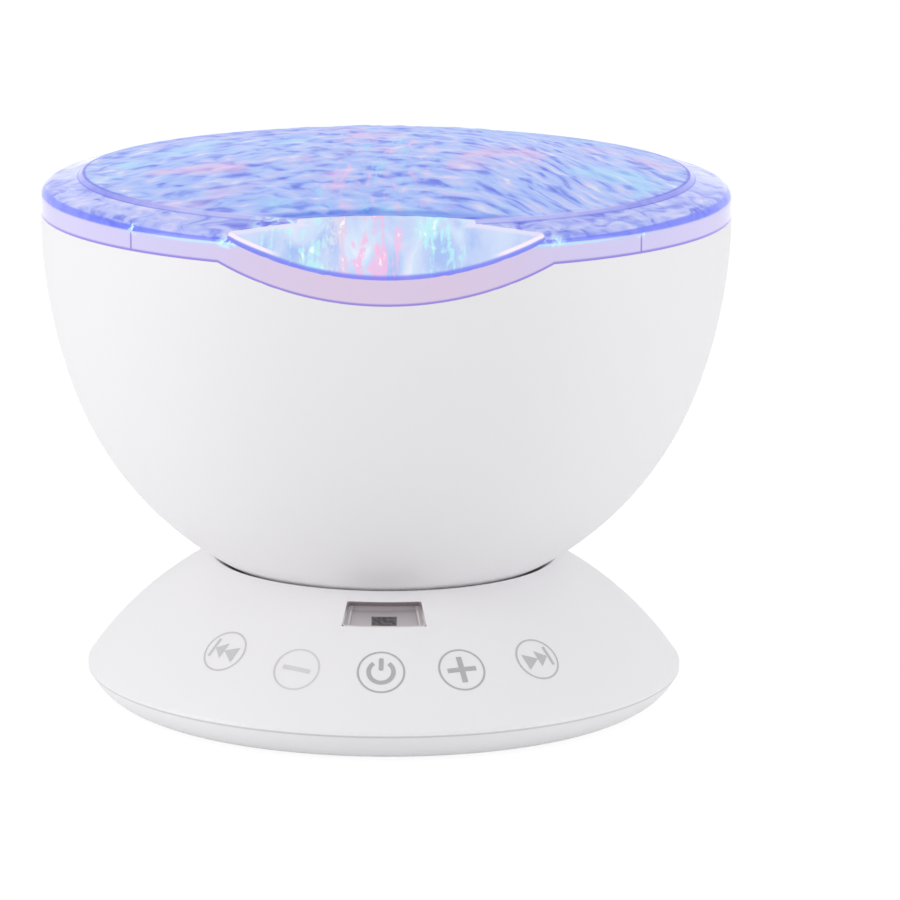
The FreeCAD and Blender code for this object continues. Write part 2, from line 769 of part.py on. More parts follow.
def gear_outline(teeth, module, turn):
    """Closed wire of a spur gear with short involute teeth, its first tooth at the angle turn."""
    pitch = module * teeth / 2
    base = pitch * math.cos(PRESSURE_ANGLE)
    tip = pitch + ADDENDUM * module
    root = pitch - DEDENDUM * module
    half = math.pi / (2 * teeth) + involute_angle(pitch, base)
    low = max(base, root)
    foot = half - involute_angle(low, base)
    radii = [low + (tip - low) * step / 4 for step in range(5)]

    def spot(radius, angle):
        return FreeCAD.Vector(radius * math.cos(angle), radius * math.sin(angle), 0)

    edges = []
    for tooth in range(teeth):
        middle = turn + 2 * math.pi * tooth / teeth
        gap_middle = middle + math.pi / teeth
        rising = [spot(radius, middle - half + involute_angle(radius, base)) for radius in radii]
        falling = [spot(radius, middle + half - involute_angle(radius, base)) for radius in reversed(radii)]
        if root < low:
            edges.append(Part.LineSegment(spot(root, middle - foot), rising[0]).toShape())
        rise = Part.BSplineCurve()
        rise.interpolate(rising)
        fall = Part.BSplineCurve()
        fall.interpolate(falling)
        edges.append(rise.toShape())
        edges.append(Part.Arc(rising[-1], spot(tip, middle), falling[0]).toShape())
        edges.append(fall.toShape())
        if root < low:
            edges.append(Part.LineSegment(falling[-1], spot(root, middle + foot)).toShape())
        next_foot = spot(root, gap_middle + math.pi / teeth - foot)
        edges.append(Part.Arc(spot(root, middle + foot), spot(root, gap_middle), next_foot).toShape())
    return Part.Wire(edges)


def make_gear(label, teeth, bore, tall, turn, across="0"):
    """A spur gear with a round bore, standing at a distance along +X."""
    wire = gear_outline(teeth, value("gear_module"), turn)
    height = value(tall)
    solid = Part.Face(wire).extrude(FreeCAD.Vector(0, 0, height))
    solid = solid.cut(Part.makeCylinder(value(bore), height))
    gear = doc.addObject("Part::Feature", label)
    gear.Shape = solid
    gear.Placement.Base = FreeCAD.Vector(value(across), 0, value(GEAR_UNDER))
    return gear


def make_wave_drive():
    """Spindle, clear wave disc, its toothed ring, and the motor whose pinion turns it."""
    top = f"({DISC_TOP} + hub_rise)"
    spindle = cylinder("disc_spindle", "spindle_radius", f"{top} + spindle_end - {DECK_UNDER}", up=DECK_UNDER)
    spindle.Label = "disc_spindle"
    disc = new_body("wave_disc")
    bore = "(spindle_radius + running_gap)"
    corners = [
        (bore, GEAR_UNDER),
        ("hub_radius", GEAR_UNDER),
        ("hub_radius", DISC_UNDER),
        (DISC, DISC_UNDER),
        (DISC, DISC_TOP),
        ("hub_radius", DISC_TOP),
        ("hub_radius", top),
        (bore, top),
    ]
    turned(disc, "profile", corners)
    clip = new_body("spindle_clip")
    low = f"({top} + running_gap)"
    turned(clip, "profile", box_corners("spindle_radius", "clip_radius", low, f"({low} + clip_thickness)"))

    pinion_height = "(gear_height - hub_gap)"
    mesh_turn = math.pi + math.pi / PINION_TEETH
    ring = make_gear("drive_ring", RING_TEETH, RING_BORE, "gear_height", 0)
    pinion = make_gear("pinion", PINION_TEETH, "spindle_radius", pinion_height, mesh_turn, GEAR_REACH)
    shaft_low = f"({DECK_UNDER} - shaft_depth)"
    shaft_height = f"({GEAR_UNDER} + {pinion_height} - {shaft_low})"
    shaft = cylinder("motor_shaft", "spindle_radius", shaft_height, GEAR_REACH, up=shaft_low)

    motor = new_body("gear_motor")
    corners = [
        ("0", f"({DECK_UNDER} - motor_height)"),
        ("motor_radius", f"({DECK_UNDER} - motor_height)"),
        ("motor_radius", DECK_UNDER),
        ("motor_collar", DECK_UNDER),
        ("motor_collar", DECK_TOP),
        (bore, DECK_TOP),
        (bore, f"({shaft_low} - running_gap)"),
        ("0", f"({shaft_low} - running_gap)"),
    ]
    turned(motor, "profile", corners)
    ears = new_sketch(motor, "ears", "XY_Plane")
    reach = "(ear_reach + ear_width / 2)"
    outline(ears, box_corners("-ear_width / 2", "ear_width / 2", f"-{reach}", reach))
    circle(ears, "0", "0", bore)
    for sign in ("", "-"):
        circle(ears, "0", f"{sign}ear_reach", "screw_radius + screw_gap")
    padded(motor, ears, "ear_thickness", f"({DECK_UNDER} - ear_thickness)")
    place(motor, GEAR_REACH)
    return [spindle, disc, clip, ring, pinion, shaft, motor]


def make_base_cover():
    """Base cover: a dome with a round seat for the bowl, a signal window opening at the front, a
    recessed socket panel at the rear and four screw bosses."""
    filled = new_body("cover_block")
    corners = [
        ("0", FLOOR),
        ("base_radius", FLOOR),
        ("base_radius", "tip_height", "dome_round", 1),
        ("dome_top_radius", "dome_top_height"),
        ("0", "dome_top_height"),
    ]
    turned(filled, "profile", corners)

    hollow = new_body("cover_hollow")
    shift_r = f"(base_wall * {CHORD_Z} / {CHORD})"
    shift_z = f"(base_wall * {CHORD_R} / {CHORD})"
    outside = "(base_radius + 5)"
    inner_r = f"(base_radius - {shift_r})"
    corners = [
        ("0", "(floor_height - 1)"),
        (outside, "(floor_height - 1)"),
        (outside, "seam_height"),
        ("(base_radius - base_wall)", "seam_height"),
        ("(base_radius - base_wall)", dome_under("(base_radius - base_wall)"), "dome_round", 1),
        (f"(dome_top_radius - {shift_r})", f"(dome_top_height - {shift_z})"),
        ("0", f"(dome_top_height - {shift_z})"),
    ]
    turned(hollow, "profile", corners)

    bosses = []
    pilots = []
    for number, (across, back) in enumerate(BOSS_SPOTS):
        height = f"dome_top_height - {FLOOR}"
        bosses.append(cylinder(f"boss{number}", "boss_radius", height, across, back, FLOOR))
        pilots.append(cylinder(f"boss_pilot{number}", "screw_radius", "screw_length", across, back,
                               f"({FLOOR} - 1)"))
    wall = "base_wall"
    panel_low = "seam_height"
    panel = block("panel_block", f"(-panel_half_width - {wall})", f"panel_half_width + {wall}",
                  f"({PANEL} - {wall})", "base_radius", panel_low, f"panel_top + {wall}")
    seat_back = ball("seat_back", "(ball_radius + seat_gap + seat_wall)", PIVOT)
    kept = fused("cover_kept", [seat_back, panel, *bosses])
    inside = cut("cover_inside", hollow, kept)

    recess = block("panel_recess", "(-panel_half_width)", "panel_half_width", PANEL,
                   "(base_radius + 5)", f"({panel_low} + recess_floor)", "panel_top")
    seat = ball("seat", "(ball_radius + seat_gap)", PIVOT)
    post_hole = cylinder("post_hole", "post_radius + slot_gap", "2 * seat_height", up="floor_height")
    noses = []
    for number, sign in enumerate(("-", "")):
        noses.append(cylinder(f"nose_hole{number}", "nose_radius", f"3 * {wall}", f"{sign}socket_spacing",
                              f"({PANEL} - 2 * {wall})", SOCKET_AXIS, axis="back"))
    opening = make_window_shape("window_opening", "0", "0", "(-base_wall - 3)", "3", "0")
    tools = [inside, recess, seat, post_hole, opening, *noses, *pilots, doc.friction_ring]
    return cut("base_cover", filled, fused("cover_tools", tools))


def window_point(along, out):
    """A point by its distance down the dome's slope from the window's middle, and out of the dome."""
    height = dome_height(WINDOW_CIRCLE)
    normal_r = f"(({WINDOW_CIRCLE} - dome_centre_radius) / dome_round)"
    normal_z = f"(({height} - dome_centre_height) / dome_round)"
    radius = f"({WINDOW_CIRCLE} + ({along}) * {normal_z} + ({out}) * {normal_r})"
    up = f"({height} - ({along}) * {normal_r} + ({out}) * {normal_z})"
    return radius, up


def window_section(low_grow, high_grow, inner, outer):
    """Corners of a slab that lies along the dome's slope at the signal window."""
    upper = f"(-window_length / 2 - ({low_grow}))"
    lower = f"(window_length / 2 + ({high_grow}))"
    return [
        window_point(upper, inner),
        window_point(lower, inner),
        window_point(lower, outer),
        window_point(upper, outer),
    ]


def make_window_shape(name, low_grow, high_grow, inner, outer, angle_grow):
    """A slab along the dome's slope, swept round the base at its front."""
    body = new_body(name)
    span = f"2 * (window_half_angle + ({angle_grow}))"
    turned(body, "section", window_section(low_grow, high_grow, inner, outer), span)
    turn_to(body, (0, 0, 1), -90)
    return body


def make_signal_window(cover):
    """Smoked window for the remote signal, with a flange that fits the cover's inner face, and its
    receiver."""
    flange_angle = f"(180 / pi * window_flange / {WINDOW_CIRCLE})"
    inner = "(-base_wall - flange_depth)"
    pane = make_window_shape("window_pane", "0", "0", inner, "(-window_recess)", "0")
    flange = make_window_shape("window_flange_part", "window_flange", "window_flange", inner,
                               "(flange_bite - base_wall)", flange_angle)
    window = cut("signal_window", fused("window_solid", [pane, flange]), cover)

    receiver = new_body("signal_receiver")
    section = new_sketch(receiver, "section", "XZ_Plane")
    low = "(window_length / 2)"
    high = "(window_length / 2 - receiver_length)"
    tilt = f"(({WINDOW_CIRCLE} - dome_centre_radius) / dome_round)"
    bow = f"(receiver_width^2 / (8 * {WINDOW_CIRCLE}) * {tilt})"
    outer = f"(-base_wall - flange_depth - {bow})"
    inner = f"({outer} - receiver_depth)"
    outline(section, [window_point(high, inner), window_point(low, inner),
                      window_point(low, outer), window_point(high, outer)])
    padded(receiver, section, "receiver_width", midplane=True)
    turn_to(receiver, (0, 0, 1), -90)
    return [window, receiver]


def make_friction_ring():
    """Rubber ring let into the seat, which the bowl rubs on."""
    ring = new_body("friction_ring")
    outer = "(friction_inner + friction_width)"
    face = "(ball_radius + seat_gap - friction_proud)"
    back = "(ball_radius + seat_gap + friction_depth)"
    corners = [
        ("friction_inner", ball_height(back, "friction_inner"), back, 1),
        (outer, ball_height(back, outer)),
        (outer, ball_height(face, outer), face, -1),
        ("friction_inner", ball_height(face, "friction_inner")),
    ]
    turned(ring, "section", corners)
    return ring


def make_clamp():
    """Hollow post with a round shoe inside the bowl, drawn down by a spring and a nut."""
    post = new_body("clamp_post")
    outer = "(ball_radius - bowl_wall - shoe_gap)"
    inner = f"({outer} - shoe_thickness)"
    corners = [
        ("post_bore", "post_bottom"),
        ("post_radius", "post_bottom"),
        ("post_radius", ball_height(outer, "post_radius"), outer, 1),
        ("shoe_radius", ball_height(outer, "shoe_radius")),
        ("shoe_radius", ball_height(inner, "shoe_radius"), inner, -1),
        ("post_bore", ball_height(inner, "post_bore")),
    ]
    turned(post, "profile", corners)

    bore = "(post_radius + slot_gap / 2)"
    washer_top = ball_height("(ball_radius + seat_gap + seat_wall)", "(post_radius + slot_gap)")
    washer_low = f"({washer_top} - washer_thickness)"
    washer = new_body("clamp_washer")
    turned(washer, "section", box_corners(bore, "washer_radius", washer_low, washer_top))

    nut_low = "(post_bottom + post_end)"
    nut_top = f"({nut_low} + nut_height)"
    spring = new_body("clamp_spring")
    spring_inner = "(clamp_spring_radius - spring_wire)"
    turned(spring, "section", box_corners(spring_inner, "clamp_spring_radius", nut_top, washer_low))

    nut = new_body("clamp_nut")
    face = new_sketch(nut, "face", "XY_Plane")
    corners = [polar("(nut_width / (2 * cos(30)))", f"{60 * number}") for number in range(6)]
    outline(face, [(across, back if number % 3 else "0") for number, (across, back) in enumerate(corners)])
    circle(face, "0", "0", "post_radius")
    padded(nut, face, "nut_height", nut_low)
    return [post, washer, spring, nut]


def make_base_plate():
    """Base plate: a shallow tray with grille holes, pad recesses, posts and a locating rib."""
    plate = new_body("base_plate")
    wall_r = "(base_radius - base_wall)"
    inner_flat = f"({FLAT} - base_wall / 2)"
    corners = [
        ("0", "floor_height"),
        (FLAT, "floor_height", "foot_round", 1),
        ("(base_radius - seam_inset)", "seam_height"),
        (wall_r, "seam_height", "foot_round", -1),
        (inner_flat, FLOOR),
        ("0", FLOOR),
    ]
    turned(plate, "profile", corners)
    rib_low = f"({FLOOR} - 0.5)"
    turned(plate, "rib", box_corners(f"({RIB} - rib_wall)", RIB, rib_low, "(seam_height + rib_overlap)"))
    notch = new_sketch(plate, "notch", "XY_Plane")
    side = "(panel_half_width + base_wall + rib_gap)"
    outline(notch, box_corners(f"-{side}", side, f"({PANEL} - base_wall - rib_gap)", "base_radius"))
    padded(plate, notch, "rib_overlap + rib_gap", "(seam_height + rib_overlap)", cut=True)

    posts = new_sketch(plate, "posts", "XY_Plane")
    for across, back in STANDOFF_SPOTS + TOUCH_POST_SPOTS:
        circle(posts, across, back, "standoff_radius")
    padded(plate, posts, "board_lift + 0.5", rib_low)
    ring = new_sketch(plate, "speaker_ring", "XY_Plane")
    for radius in ("speaker_radius + speaker_gap", "speaker_radius + speaker_gap + speaker_rib"):
        circle(ring, "0", f"(-{SPEAKER})", radius)
    padded(plate, ring, "speaker_depth + 0.5", rib_low)

    holes = new_sketch(plate, "holes", "XY_Plane")
    for across, back in BOSS_SPOTS:
        circle(holes, across, back, "screw_radius + screw_gap")
    for across, back in grille_spots():
        circle(holes, across, back, "grille_hole")
    padded(plate, holes, f"{FLOOR} + 1", f"({FLOOR} + 0.5)", cut=True)
    heads = new_sketch(plate, "heads", "XY_Plane")
    for across, back in BOSS_SPOTS:
        circle(heads, across, back, "screw_head_radius + screw_gap")
    padded(plate, heads, "floor_height + screw_head_height", "(floor_height + screw_head_height)", cut=True)
    recesses = new_sketch(plate, "recesses", "XY_Plane")
    for across, back in PAD_SPOTS:
        circle(recesses, across, back, "pad_radius")
    padded(plate, recesses, "floor_height + pad_recess", "(floor_height + pad_recess)", cut=True)
    pilots = new_sketch(plate, "pilots", "XY_Plane")
    for across, back in STANDOFF_SPOTS + TOUCH_POST_SPOTS:
        circle(pilots, across, back, "screw_radius")
    padded(plate, pilots, "board_lift", BOARD, cut=True)
    return plate


def grille_spots():
    """Centres of the speaker holes: one in the middle and two rings round it."""
    spots = [("0", f"(-{SPEAKER})")]
    for ring, count in ((1, 6), (2, 12)):
        for number in range(count):
            across, back = polar(f"{ring} * grille_pitch", f"{360 * number / count + 15 * ring}")
            spots.append((across, f"{back} - {SPEAKER}"))
    return spots


def make_rubber_feet():
    height = "floor_height + pad_recess"
    feet = []
    for number, (across, back) in enumerate(PAD_SPOTS):
        feet.append(cylinder(f"foot{number}", "pad_radius", height, across, back))
    return group("rubber_feet", feet)


def make_touch_sensing():
    """Curved board under the five touch keys, with a spring that reaches up to each key."""
    board = new_body("touch_board")
    corners = box_corners(TOUCH_INNER, TOUCH_OUTER, BOARD, BOARD_TOP)
    turned(board, "section", corners, "2 * touch_half_angle")
    turn_to(board, (0, 0, 1), -90)
    holes = []
    for number, (across, back) in enumerate(TOUCH_POST_SPOTS):
        holes.append(cylinder(f"touch_hole{number}", "screw_radius + screw_gap", "2 * board_thickness",
                              across, back, f"({BOARD} - board_thickness / 2)"))
    drilled = cut("touch_panel", board, fused("touch_holes", holes))
    springs = []
    reach = f"({KEY_CIRCLE} - key_inset + touch_spring_radius)"
    height = f"{dome_under(reach)} - key_clearance - {BOARD_TOP}"
    for number, angle in enumerate(KEY_ANGLES):
        across, back = polar(f"({KEY_CIRCLE} - key_inset)", angle)
        outer = cylinder(f"spring_outer{number}", "touch_spring_radius", height, across, back, BOARD_TOP)
        inner = cylinder(f"spring_inner{number}", "touch_spring_radius - touch_spring_wire", height,
                         across, back, BOARD_TOP)
        springs.append(cut(f"touch_spring{number}", outer, inner))
    return [drilled, group("touch_springs", springs)]


def make_main_board():
    """Control board with its chips, capacitors, lead plug and the two rear sockets."""
    left = "(-board_width / 2)"
    right = "board_width / 2"
    blank = block("board_blank", left, right, BOARD_FRONT, BOARD_BACK, BOARD, BOARD_TOP)
    holes = []
    for number, (across, behind) in enumerate(STANDOFF_SPOTS):
        holes.append(cylinder(f"board_hole{number}", "screw_radius + screw_gap", "2 * board_thickness",
                              across, behind, f"({BOARD} - board_thickness / 2)"))
    board = cut("main_board", blank, fused("board_holes", holes))
    chips = []
    for number, (middle, half) in enumerate((("-board_width / 4", "large_chip_half"),
                                             ("board_width / 4 - 1", "small_chip_half"))):
        row = f"({BOARD_FRONT} + chip_row)"
        chips.append(block(f"chip{number}", f"({middle} - {half})", f"{middle} + {half}",
                           f"({row} - {half})", f"{row} + {half}", BOARD_TOP, f"{BOARD_TOP} + chip_height"))
    cans = []
    for number, sign in enumerate(("-", "")):
        cans.append(cylinder(f"can{number}", "can_radius", "can_height", f"{sign}can_spacing",
                             f"{BOARD_FRONT} + can_row", BOARD_TOP))
    plug_front = f"({BOARD_FRONT} - lead_plug_overhang)"
    plug = block("lead_plug", "(-lead_plug_half)", "lead_plug_half", plug_front,
                 f"{plug_front} + lead_plug_length", BOARD_TOP, f"{BOARD_TOP} + lead_plug_height")
    return [board, group("board_chips", chips), group("capacitors", cans), plug]


def make_socket(name, sign, bore, depth):
    """A rear socket: a box on the main board whose round nose fills its hole in the panel."""
    middle = f"({sign}socket_spacing)"
    front = f"({PANEL} - base_wall - socket_length)"
    case = block(f"{name}_case", f"({middle} - socket_width / 2)", f"{middle} + socket_width / 2",
                 front, f"({PANEL} - base_wall)", BOARD_TOP, f"{BOARD_TOP} + socket_height")
    nose = cylinder(f"{name}_nose", "nose_radius", "base_wall + 1", middle,
                    f"({PANEL} - base_wall - 1)", SOCKET_AXIS, axis="back")
    hole = cylinder(f"{name}_bore", bore, depth, middle, f"({PANEL} - ({depth}))", SOCKET_AXIS, axis="back")
    return cut(name, fused(f"{name}_body", [case, nose]), hole)


def make_sockets():
    power = make_socket("power_socket", "-", "power_bore", "power_depth")
    pin = cylinder("power_pin", "power_pin_radius", "power_pin_length", "(-socket_spacing)",
                   f"({PANEL} - power_depth)", SOCKET_AXIS, axis="back")
    audio = make_socket("audio_socket", "", "audio_bore", "audio_depth")
    return [power, pin, audio]


def make_speaker():
    """Small speaker that faces down on the grille."""
    low = FLOOR
    seat = f"({FLOOR} + gasket_thickness)"
    inner = "(speaker_radius - speaker_flange)"
    waist = "(magnet_radius - speaker_sheet)"
    throat = f"({FLOOR} + speaker_depth + throat_rise)"
    dust_cap = f"({throat} - cap_drop)"
    cone_top = f"({throat} - cone_drop)"
    gasket = new_body("speaker_gasket")
    turned(gasket, "section", box_corners(inner, "speaker_radius", low, seat))
    basket = new_body("speaker_basket")
    corners = [
        (inner, seat),
        ("speaker_radius", seat),
        ("speaker_radius", f"({seat} + speaker_sheet)"),
        ("magnet_radius", throat),
        ("throat_radius", throat),
        ("throat_radius", f"({throat} - speaker_sheet)"),
        (waist, f"({throat} - speaker_sheet)"),
        (inner, f"({seat} + speaker_sheet)"),
    ]
    turned(basket, "section", corners)
    magnet = new_body("speaker_magnet")
    turned(magnet, "section", box_corners("0", "magnet_radius", throat, f"({throat} + magnet_height)"))
    cone = new_body("speaker_cone")
    corners = [
        ("0", dust_cap),
        ("cap_radius", cone_top),
        (inner, seat),
        (inner, f"({seat} + cone_thickness)"),
        ("cap_radius", f"({cone_top} + cone_thickness)"),
        ("0", f"({dust_cap} + cone_thickness)"),
    ]
    turned(cone, "section", corners)
    parts = [gasket, basket, magnet, cone]
    for part in parts:
        place(part, back=f"(-{SPEAKER})")
    return parts


def make_lead():
    """Lead from the main board's plug, up through the clamp post, to the plug under the light deck.
    Straight runs are joined by arcs."""
    plug_face = value(f"{BOARD_FRONT} - lead_plug_overhang")
    plug_height = value(f"{BOARD_TOP} + lead_plug_height / 2")
    bend_height = value(f"{FLOOR} + lead_radius + lead_floor_gap")
    shoe_top = value(ball_height("(ball_radius - bowl_wall - shoe_gap - shoe_thickness)", "0"))
    plug_under = value(f"{DECK_UNDER} - head_plug_height")
    side = value("lead_side")
    route = [
        FreeCAD.Vector(0, plug_face, plug_height),
        FreeCAD.Vector(0, plug_face - value("lead_exit"), plug_height),
        FreeCAD.Vector(0, value("lead_front"), bend_height),
        FreeCAD.Vector(0, 0, bend_height),
        FreeCAD.Vector(0, 0, shoe_top + value("lead_exit")),
        FreeCAD.Vector(-value("lead_sway"), value("lead_back_sway"), shoe_top + value("lead_climb")),
        FreeCAD.Vector(-side, 0, plug_under - value("lead_drop")),
        FreeCAD.Vector(-side, 0, plug_under),
    ]
    edges = []
    start = route[0]
    for before, corner, after in zip(route, route[1:], route[2:]):
        back = (before - corner)
        ahead = (after - corner)
        shorter = min(back.Length, ahead.Length)
        turn = math.pi - back.getAngle(ahead)
        radius = 0.45 * shorter / math.tan(turn / 2)
        print(f"lead bend radius {radius:.1f} mm, turn {math.degrees(turn):.0f} degrees")
        trim = 0.45 * shorter
        enter = corner + back.normalize() * trim
        leave = corner + ahead.normalize() * trim
        inward = (back + ahead).normalize()
        middle = corner + inward * (radius / math.cos(turn / 2) - radius)
        edges.append(Part.LineSegment(start, enter).toShape())
        edges.append(Part.Arc(enter, middle, leave).toShape())
        start = leave
    edges.append(Part.LineSegment(start, route[-1]).toShape())
    path = Part.Wire(edges)
    direction = (route[1] - route[0]).normalize()
    ring = Part.Wire([Part.makeCircle(value("lead_radius"), route[0], direction)])
    solid = path.makePipeShell([ring], True, False)
    lead = doc.addObject("Part::Feature", "head_lead")
    lead.Shape = solid
    area = math.pi * value("lead_radius") ** 2
    print(f"lead volume {solid.Volume:.1f}, section times length {area * path.Length:.1f}")
    plug = block("head_plug", "(-lead_side - head_plug_half)", "head_plug_half - lead_side",
                 "(-head_plug_depth)", "head_plug_depth", f"({DECK_UNDER} - head_plug_height)", DECK_UNDER)
    return [lead, plug]


def make_screws():
    """Every group of fasteners."""
    deck = screws("deck_screws", DECK_SCREW_SPOTS, DECK_TOP, "screw_length", head_up=True)
    led = screws("light_board_screws", LED_POST_SPOTS, f"({LED_BOARD} + board_thickness)",
                 "short_screw_length", head_up=True)
    motor = screws("motor_screws", EAR_SPOTS, f"({DECK_UNDER} - ear_thickness)",
                   "(ear_thickness + deck_thickness)", head_up=False)
    board = screws("board_screws", STANDOFF_SPOTS + TOUCH_POST_SPOTS, BOARD_TOP, "short_screw_length",
                   head_up=True)
    base = screws("base_screws", BOSS_SPOTS, "(floor_height + screw_head_height)", "screw_length",
                  head_up=False)
    return [deck, led, motor, board, base]


def check_document():
    """Stop if any object of the document failed."""
    for thing in doc.Objects:
        if "Invalid" in thing.State or "Error" in thing.State:
            raise RuntimeError(f"{thing.Name} failed: {thing.State}")


def export(pieces):
    """Write every sub-part to its own STEP file."""
    os.makedirs("parts", exist_ok=True)
    for piece in pieces:
        piece.Label = piece.Name
        shape = piece.Shape
        if shape.isNull() or not shape.isValid():
            raise RuntimeError(f"{piece.Label} has no valid shape")
    for piece in pieces:
        piece.Shape.exportStep(f"parts/{piece.Label}.step")
        print(f"{piece.Label}: {len(piece.Shape.Solids)} solids, {piece.Shape.Volume:.0f} mm3")


def build():
    friction_ring = make_friction_ring()
    cover = make_base_cover()
    pieces = [
        make_bowl(),
        make_lid(),
        make_light_deck(),
        *make_light_board(),
        *make_wave_drive(),
        friction_ring,
        cover,
        *make_signal_window(cover),
        *make_clamp(),
        make_base_plate(),
        make_rubber_feet(),
        *make_touch_sensing(),
        *make_main_board(),
        *make_sockets(),
        *make_speaker(),
        *make_lead(),
        *make_screws(),
    ]
    doc.recompute()
    check_document()
    export(pieces)


build()
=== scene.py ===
import bpy
import bmesh
import json
import math
from mathutils import Matrix, Vector

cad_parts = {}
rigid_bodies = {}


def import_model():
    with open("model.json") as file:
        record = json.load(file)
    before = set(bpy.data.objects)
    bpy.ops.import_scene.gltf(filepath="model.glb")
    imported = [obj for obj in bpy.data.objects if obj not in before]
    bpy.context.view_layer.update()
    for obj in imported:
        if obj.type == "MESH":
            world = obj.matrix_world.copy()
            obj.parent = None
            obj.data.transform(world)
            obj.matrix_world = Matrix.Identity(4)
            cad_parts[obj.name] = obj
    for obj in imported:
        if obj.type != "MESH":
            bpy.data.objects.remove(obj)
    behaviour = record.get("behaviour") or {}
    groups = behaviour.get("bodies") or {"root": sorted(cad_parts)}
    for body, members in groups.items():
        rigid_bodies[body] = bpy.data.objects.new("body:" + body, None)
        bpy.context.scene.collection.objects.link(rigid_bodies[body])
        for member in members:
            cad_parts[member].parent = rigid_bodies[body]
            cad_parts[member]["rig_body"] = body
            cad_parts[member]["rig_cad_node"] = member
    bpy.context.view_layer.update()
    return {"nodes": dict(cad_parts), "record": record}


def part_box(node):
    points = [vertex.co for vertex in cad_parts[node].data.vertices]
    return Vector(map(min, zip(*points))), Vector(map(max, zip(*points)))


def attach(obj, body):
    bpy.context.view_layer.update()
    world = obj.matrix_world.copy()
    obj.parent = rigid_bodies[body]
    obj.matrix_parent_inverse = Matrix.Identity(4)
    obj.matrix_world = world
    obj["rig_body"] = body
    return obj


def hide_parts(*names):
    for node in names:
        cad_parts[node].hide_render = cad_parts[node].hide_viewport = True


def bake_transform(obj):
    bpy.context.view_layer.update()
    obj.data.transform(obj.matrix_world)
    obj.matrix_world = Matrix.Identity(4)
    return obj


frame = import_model()
nodes = frame["nodes"]
bpy.ops.object.select_all(action="DESELECT")

# Sizes in metres, with WINDOW_HALF in degrees. An arc is its centre's radius and height, then its own radius.
BALL_ARC = (0.0, 0.094, 0.0725)
RIM_RADIUS = 0.075
RIM_HEIGHT = 0.1076
SIDE_ROUND = 0.110742
SIDE_ARC = (RIM_RADIUS - SIDE_ROUND, RIM_HEIGHT, SIDE_ROUND)
MARGIN_HEIGHT = 0.1142
EDGE_ROUND = 0.003
LID_LOW = 0.0915
BAND_TOP = 0.1116
MARGIN_RADIUS = 0.072
MARGIN_WIDTH = 0.0051
RING_RADIUS = 0.066
RING_FOOT = 0.1155
RING_HEIGHT = 0.1162
DOME_RISE = 0.0068
EYE_SLOPE = math.radians(42.7)
EYE_LOW = 0.0998
EYE_BAND = 0.0057
LID_WALL = 0.0016
RIPPLE_DEPTH = 0.0007
RIPPLE_SIZE = 0.0044
RIPPLE_RADIUS = 0.0645
RIPPLE_FADE = 0.002
COVER_ARC = (0.004739, -0.034079, 0.0736)
SEAM_HEIGHT = 0.0066
WINDOW_CIRCLE = 0.0443
WINDOW_HALF = 11.0
WINDOW_LENGTH = 0.0073
WINDOW_TOP = 0.0291
WINDOW_LOW = 0.0252
LINING_DEPTH = 0.00052
LINING_HEIGHT = 0.00096
LINING_WALL = 0.0003
LINING_CORNER = 0.0008
KEY_RADIUS = 0.0051
KEY_LINE = 0.0004
PRINT_LIFT = 0.00004
LEAD_RADIUS = 0.0012
MERGE_DISTANCE = 0.000002

# Each key's sign, its angle round the base, its distance from the middle, and how far it is turned
KEYS = (
    ("previous", 232.0, 0.0551, -8.0), ("minus", 250.93, 0.0565, -7.0), ("power", 269.4, 0.0563, 0.0),
    ("plus", 287.04, 0.0563, 2.0), ("next", 305.68, 0.0560, 6.0))

# Each light's name, place, width, power and colour
LIGHTS = (
    ("left_light", (-1.30, -0.60, 0.45), 0.9, 9.1, (1.0, 0.993, 0.993)),
    ("right_light", (1.30, -0.60, 0.45), 0.9, 7.2, (0.985, 0.985, 1.0)))
LIGHTS_AIM = (0, 0, 0.06)

# The camera looks down by CAMERA_DOWN degrees and is rolled by CAMERA_ROLL
CAMERA_PLACE = (0, -1.131, 0.2943)
CAMERA_DOWN = 11.98
CAMERA_ROLL = 0.3
CAMERA_LENS = 210.4
CAMERA_SHIFT = 0.0722


# Modelling

def start_piece(name):
    """Name the primitive that was just added, put its place in its mesh and open it for editing."""
    piece = bpy.context.object
    piece.name = name
    piece.data.name = name
    bpy.ops.object.transform_apply(location=True, rotation=True, scale=True)
    bpy.ops.object.mode_set(mode="EDIT")
    bpy.ops.mesh.select_all(action="SELECT")
    return piece


def finish_piece(piece):
    """Close the piece for editing and leave nothing selected."""
    bpy.ops.object.mode_set(mode="OBJECT")
    bpy.ops.object.select_all(action="DESELECT")
    return piece


def make_active(piece):
    bpy.ops.object.select_all(action="DESELECT")
    piece.select_set(True)
    bpy.context.view_layer.objects.active = piece


def apply_modifier(piece, kind, **settings):
    """Add one modifier, set it up and apply it."""
    make_active(piece)
    modifier = piece.modifiers.new(kind.lower(), kind)
    for setting, value in settings.items():
        setattr(modifier, setting, value)
    bpy.ops.object.modifier_apply(modifier=modifier.name)


def select_faces(piece, test):
    """In edit mode, select only the faces whose centre and normal pass a test."""
    bpy.ops.mesh.select_mode(type="FACE")
    bpy.ops.mesh.select_all(action="DESELECT")
    mesh = bmesh.from_edit_mesh(piece.data)
    count = 0
    for face in mesh.faces:
        if test(face.calc_center_median(), face.normal):
            face.select_set(True)
            count += 1
    bmesh.update_edit_mesh(piece.data)
    return count


